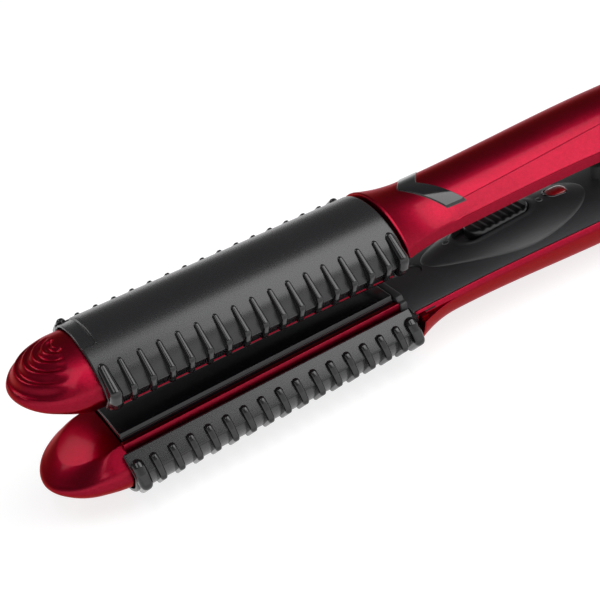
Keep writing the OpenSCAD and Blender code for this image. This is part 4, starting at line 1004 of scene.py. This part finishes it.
def piece(name, parts, arm, finish, stands_for=(), body=None, slot=None, sharp=32):
    """One object from closed surfaces of an arm's drawing: doubles merged, faces outward, edges sharper
    than an angle kept, riding on a body, by default the arm's, and standing for the nodes that it
    replaces."""
    body, slot = body or arm + "_arm", slot or SLOT[finish]
    drawing, faces, base = [], [], 0
    for p, f in parts:
        drawing.append(placed(p, arm))
        faces += [[i + base for i in face] for face in f]
        base += len(p)
    mesh = bpy.data.meshes.new(name)
    mesh.from_pydata(join(*drawing).tolist(), [], faces)
    work = bmesh.new()
    work.from_mesh(mesh)
    bmesh.ops.remove_doubles(work, verts=work.verts, dist=2e-6)
    bmesh.ops.dissolve_degenerate(work, edges=work.edges, dist=1e-6)
    bmesh.ops.recalc_face_normals(work, faces=work.faces)
    work.to_mesh(mesh)
    work.free()
    mesh.shade_smooth()
    mesh.set_sharp_from_angle(angle=math.radians(sharp))
    if finish not in bpy.data.materials:
        raise RuntimeError("Make the finishes first: " + finish + " is missing")
    mesh.materials.append(bpy.data.materials[finish])
    ob = bpy.data.objects.new(name, mesh)
    bpy.context.collection.objects.link(ob)
    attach(ob, body)
    if stands_for:
        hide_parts(*stands_for)


class CRIMPER_OT_covers(bpy.types.Operator):
    """Comb covers of both arms: their walls, and rows of small fins between large end fins"""
    bl_idname = "crimper.covers"
    bl_label = "Comb covers"

    def execute(self, context):
        edge = context.scene.crimper_sizes.fin_edge / MM
        margin = (BARREL - (FIN_COUNT - 1) * FIN_PITCH) / 2
        ear = EAR_T / 2 + 0.03
        for arm in ARMS:
            body = arm + "_cover_body"
            wall = cover_shell(arm == "upper")
            piece(arm + "_cover_wall", [wall], arm, "Cover plastic", [arm + "_cover"], body)
            fins = [fin(margin + i * FIN_PITCH, False, s, edge)
                    for i in range(FIN_COUNT) for s in (-1, 1)]
            fins += [fin(x, True, s, edge) for x in (ear, BARREL - ear) for s in (-1, 1)]
            # The fins' finish is the cover's plastic darkened as painted shade
            piece(arm + "_cover_fins", fins, arm, "Fin plastic", body=body, sharp=60)
        return {"FINISHED"}


class CRIMPER_OT_tips(bpy.types.Operator):
    """Domed tips of both arms, the upper one rippled"""
    bl_idname = "crimper.tips"
    bl_label = "Tips"

    def execute(self, context):
        s = context.scene.crimper_sizes
        for arm in ARMS:
            dome = tip_skin(arm == "upper", s.ripple / MM, s.rings)
            piece(arm + "_tip_dome", [dome], arm, "Red lacquer", [arm + "_tip"])
        return {"FINISHED"}


class CRIMPER_OT_frames(bpy.types.Operator):
    """Cores under the covers, rails beside the plates, stop bars, and strips along the handles"""
    bl_idname = "crimper.frames"
    bl_label = "Frames"

    def execute(self, context):
        slit = context.scene.crimper_sizes.slit
        for arm in ARMS:
            piece(arm + "_core", barrel_core(arm), arm, "Core plastic", [arm + "_frame"])
            piece(arm + "_stop_bar", [stop_bar(arm)], arm, "Panel plastic")
            piece(arm + "_rails", [rail(s) for s in (-1, 1)], arm, "Red lacquer")
            piece(arm + "_strips", [strip(arm, s, slit) for s in (-1, 1)], arm, "Red lacquer")
        return {"FINISHED"}


class CRIMPER_OT_plates(bpy.types.Operator):
    """Heating plates with rounded edges"""
    bl_idname = "crimper.plates"
    bl_label = "Plates"

    def execute(self, context):
        for arm in ARMS:
            body = arm + "_plate_body"
            piece(arm + "_plate_face", [plate()], arm, "Ceramic coat", [arm + "_plate"], body)
        return {"FINISHED"}


class CRIMPER_OT_handles(bpy.types.Operator):
    """Handle walls with their bulkheads and screw posts, the tail, the cheeks and the knuckle"""
    bl_idname = "crimper.handles"
    bl_label = "Handles"

    def execute(self, context):
        groove = context.scene.crimper_sizes.groove / MM
        for arm in ARMS:
            parts = [handle_shell(arm, groove), bulkhead(arm)] + [post(arm, x) for x in SCREWS_X]
            parts += [tail_cap(), cheek(-1), cheek(1)] if arm == "lower" else [knuckle()]
            piece(arm + "_handle_wall", parts, arm, "Red lacquer", [arm + "_shell"])
        return {"FINISHED"}


class CRIMPER_OT_hinge(bpy.types.Operator):
    """Caps over the pin's ends and the cord swivel"""
    bl_idname = "crimper.hinge"
    bl_label = "Hinge and swivel"

    def execute(self, context):
        piece("pin_caps", [pin_cap(s) for s in (-1, 1)], "lower", "Red lacquer", ["hinge_caps"])
        piece("swivel_collar", [swivel()], "lower", "Panel plastic", ["cord_swivel"], "cord_swivel_body")
        return {"FINISHED"}


class CRIMPER_OT_chevron(bpy.types.Operator):
    """Gloss black chevron on the upper handle, in its thin seam"""
    bl_idname = "crimper.chevron"
    bl_label = "Chevron"

    def execute(self, context):
        top = context.scene.crimper_sizes.inlay / MM
        piece("chevron_seam", [chevron(0.0, 0.06)], "upper", "Core plastic", ["chevron_frame"],
              slot="black_gloss")
        piece("chevron_band", [chevron(-SEAM, top)], "upper", "Gloss black", ["chevron_inlay"])
        return {"FINISHED"}


class CRIMPER_OT_panels(bpy.types.Operator):
    """Inner panels, the rubber bumper and the stud that meets it"""
    bl_idname = "crimper.panels"
    bl_label = "Inner panels"

    def execute(self, context):
        slit = context.scene.crimper_sizes.slit
        for arm in ARMS:
            parts = [inner_panel(arm, slit)] + ([stud()] if arm == "upper" else [])
            piece(arm + "_inner_panel", parts, arm, "Panel plastic", [arm + "_panel"], sharp=40)
        piece("rubber_bumper", [bumper()], "lower", "Rubber", ["bumper"])
        return {"FINISHED"}


class CRIMPER_OT_switch(bpy.types.Operator):
    """Switch pod with its two ring marks, the ribbed knob, and the indicator lens in its bezel"""
    bl_idname = "crimper.switch"
    bl_label = "Switch and indicator"

    def execute(self, context):
        rib = context.scene.crimper_sizes.rib / MM
        marks = [bead(MARK_R, MARK_R, 0.16, 0.02, *place) for place in MARKS]
        bezel = bead(LENS_HALF + BEZEL, LENS_Y + BEZEL, 0.24, 0.0, LENS_X)
        piece("pod_dome", [switch_pod()], "lower", "Panel plastic", ["switch_pod"], sharp=30)
        piece("pod_marks", marks, "lower", "Mark grey")
        piece("knob_slide", knob(rib), "lower", "Knob plastic", ["switch_knob"], "switch_knob_body",
              sharp=40)
        piece("lens_bezel", [bezel], "lower", "Dark chrome", ["indicator_bezel"])
        piece("lens_dome", [lens()], "lower", "Lens red", ["indicator_lens"], sharp=60)
        return {"FINISHED"}


# ---------------------------------------------------------------- studio

def facing(position, ahead, roll=0.0):
    """Matrix of a camera or lamp at a position that looks along a direction, rolled about it in degrees:
    its right is the level direction across, turned by the roll towards its top."""
    ahead = np.array(ahead, float) / np.linalg.norm(ahead)
    side = np.cross(ahead, (0, 0, 1))
    side /= np.linalg.norm(side)
    up = np.cross(side, ahead)
    c, s = polar(1, roll)
    m = np.eye(4)
    m[:3, 0], m[:3, 1], m[:3, 2], m[:3, 3] = c * side + s * up, c * up - s * side, -ahead, position
    return Matrix(m.tolist())


def softbox(name, position, size, power, roll):
    """Rectangular lamp that looks at the middle of the crimper."""
    data = bpy.data.lights.new(name, "AREA")
    data.shape = "RECTANGLE"
    data.size, data.size_y = size
    data.energy = power
    ob = bpy.data.objects.new(name, data)
    bpy.context.collection.objects.link(ob)
    ob.matrix_world = facing(position, np.array([0, 0, LIFT * MM]) - position, roll)


def paper(tone):
    """White paper: matt, and where a camera, mirror or glass ray meets it, evenly bright with a soft
    shadow."""
    made, t, shader, output = material("Paper")
    place = t.add("TexCoord").outputs["Object"]
    fibres = t.add("TexNoise", {"Vector": place, "Scale": 900.0, "Detail": 4.0})
    t.feed(shader, {"Base Color": t.blend(fibres.outputs["Fac"], tone, lighter(tone, 0.04)),
                    "Roughness": 0.9})
    path = t.add("LightPath")
    seen = path.outputs["Is Camera Ray"]
    for ray in ("Is Glossy Ray", "Is Transmission Ray"):
        seen = t.add("Math", {0: seen, 1: path.outputs[ray]}, operation="MAXIMUM").outputs[0]
    glow = t.add("Emission", {"Color": (1, 1, 1, 1), "Strength": PAPER_GLOW})
    matt = t.add("BsdfDiffuse", {"Color": (PAPER_MATT, PAPER_MATT, PAPER_MATT, 1)})
    bright = t.add("AddShader", {0: matt.outputs[0], 1: glow.outputs[0]})
    mix = t.add("MixShader", {0: seen, 1: shader.outputs[0], 2: bright.outputs[0]})
    t.feed(output, {"Surface": mix.outputs[0]})
    return made


class CRIMPER_OT_studio(bpy.types.Operator):
    """Camera, softboxes, a room that is bright low down and dark overhead, and a pale floor"""
    bl_idname = "crimper.studio"
    bl_label = "Studio"

    def execute(self, context):
        scene, s = context.scene, context.scene.crimper_studio
        scene.view_settings.view_transform = "Standard"
        data = bpy.data.cameras.new("camera")
        data.lens, data.sensor_width, data.clip_start = s.focal, 36, 0.01
        ob = bpy.data.objects.new("camera", data)
        context.collection.objects.link(ob)
        (level, down), (east, north) = polar(1, TILT), polar(1, HEADING)
        ob.matrix_world = facing(CAMERA_AT, (level * east, level * north, -down), ROLL)
        scene.camera = ob
        for name, (position, size, roll) in SOFTBOXES.items():
            softbox(name, position, size, getattr(s, name), roll)
        world = bpy.data.worlds.new("studio")
        scene.world = world
        world.use_nodes = True
        t = Tree(world.node_tree)
        way = t.add("VectorMath", {0: t.add("TexCoord").outputs["Generated"], 1: DARK_WAY},
                    operation="DOT_PRODUCT")
        bright = t.add("MapRange", {"Value": way.outputs["Value"], "From Min": 0.0, "From Max": DARK_AT,
                                    "To Min": s.horizon, "To Max": s.zenith},
                       interpolation_type="SMOOTHSTEP")
        back = t.add("Background", {"Color": (1, 1, 1, 1), "Strength": bright.outputs[0]})
        t.add("OutputWorld", {"Surface": back.outputs[0]})
        mesh = bpy.data.meshes.new("floor")
        corners = np.array([(-1, -1, 0), (1, -1, 0), (1, 1, 0), (-1, 1, 0)]) * PAPER_HALF
        mesh.from_pydata(corners.tolist(), [], [(0, 1, 2, 3)])
        mesh.materials.append(paper(s.floor))
        floor = bpy.data.objects.new("floor", mesh)
        context.collection.objects.link(floor)
        return {"FINISHED"}


STEPS = (CRIMPER_OT_finishes, CRIMPER_OT_covers, CRIMPER_OT_tips, CRIMPER_OT_frames, CRIMPER_OT_plates,
         CRIMPER_OT_handles, CRIMPER_OT_hinge, CRIMPER_OT_chevron, CRIMPER_OT_panels, CRIMPER_OT_switch,
         CRIMPER_OT_studio)


class CRIMPER_PT_panel(bpy.types.Panel):
    """Sizes, colours and steps of the crimper"""
    bl_idname = "CRIMPER_PT_panel"
    bl_label = "Hair crimper"
    bl_space_type = "VIEW_3D"
    bl_region_type = "UI"
    bl_category = "Crimper"

    def draw(self, context):
        for group in GROUPS:
            box = self.layout.box()
            settings = getattr(context.scene, group)
            for key in settings.__annotations__:
                box.prop(settings, key)
        for step in STEPS:
            self.layout.operator(step.bl_idname)


GROUPS = {"crimper_sizes": CrimperSizes, "crimper_colours": CrimperColours,
          "crimper_studio": CrimperStudio}


def register():
    for cls in (*GROUPS.values(), *STEPS, CRIMPER_PT_panel):
        bpy.utils.register_class(cls)
    for key, cls in GROUPS.items():
        setattr(bpy.types.Scene, key, PointerProperty(type=cls))


def unregister():
    for key in GROUPS:
        delattr(bpy.types.Scene, key)
    for cls in (CRIMPER_PT_panel, *STEPS[::-1], *GROUPS.values()):
        bpy.utils.unregister_class(cls)


def main():
    register()
    for step in STEPS:
        family, action = step.bl_idname.split(".")
        if getattr(getattr(bpy.ops, family), action)() != {"FINISHED"}:
            raise RuntimeError(step.bl_label + " did not finish")


if __name__ == "__main__":
    main()
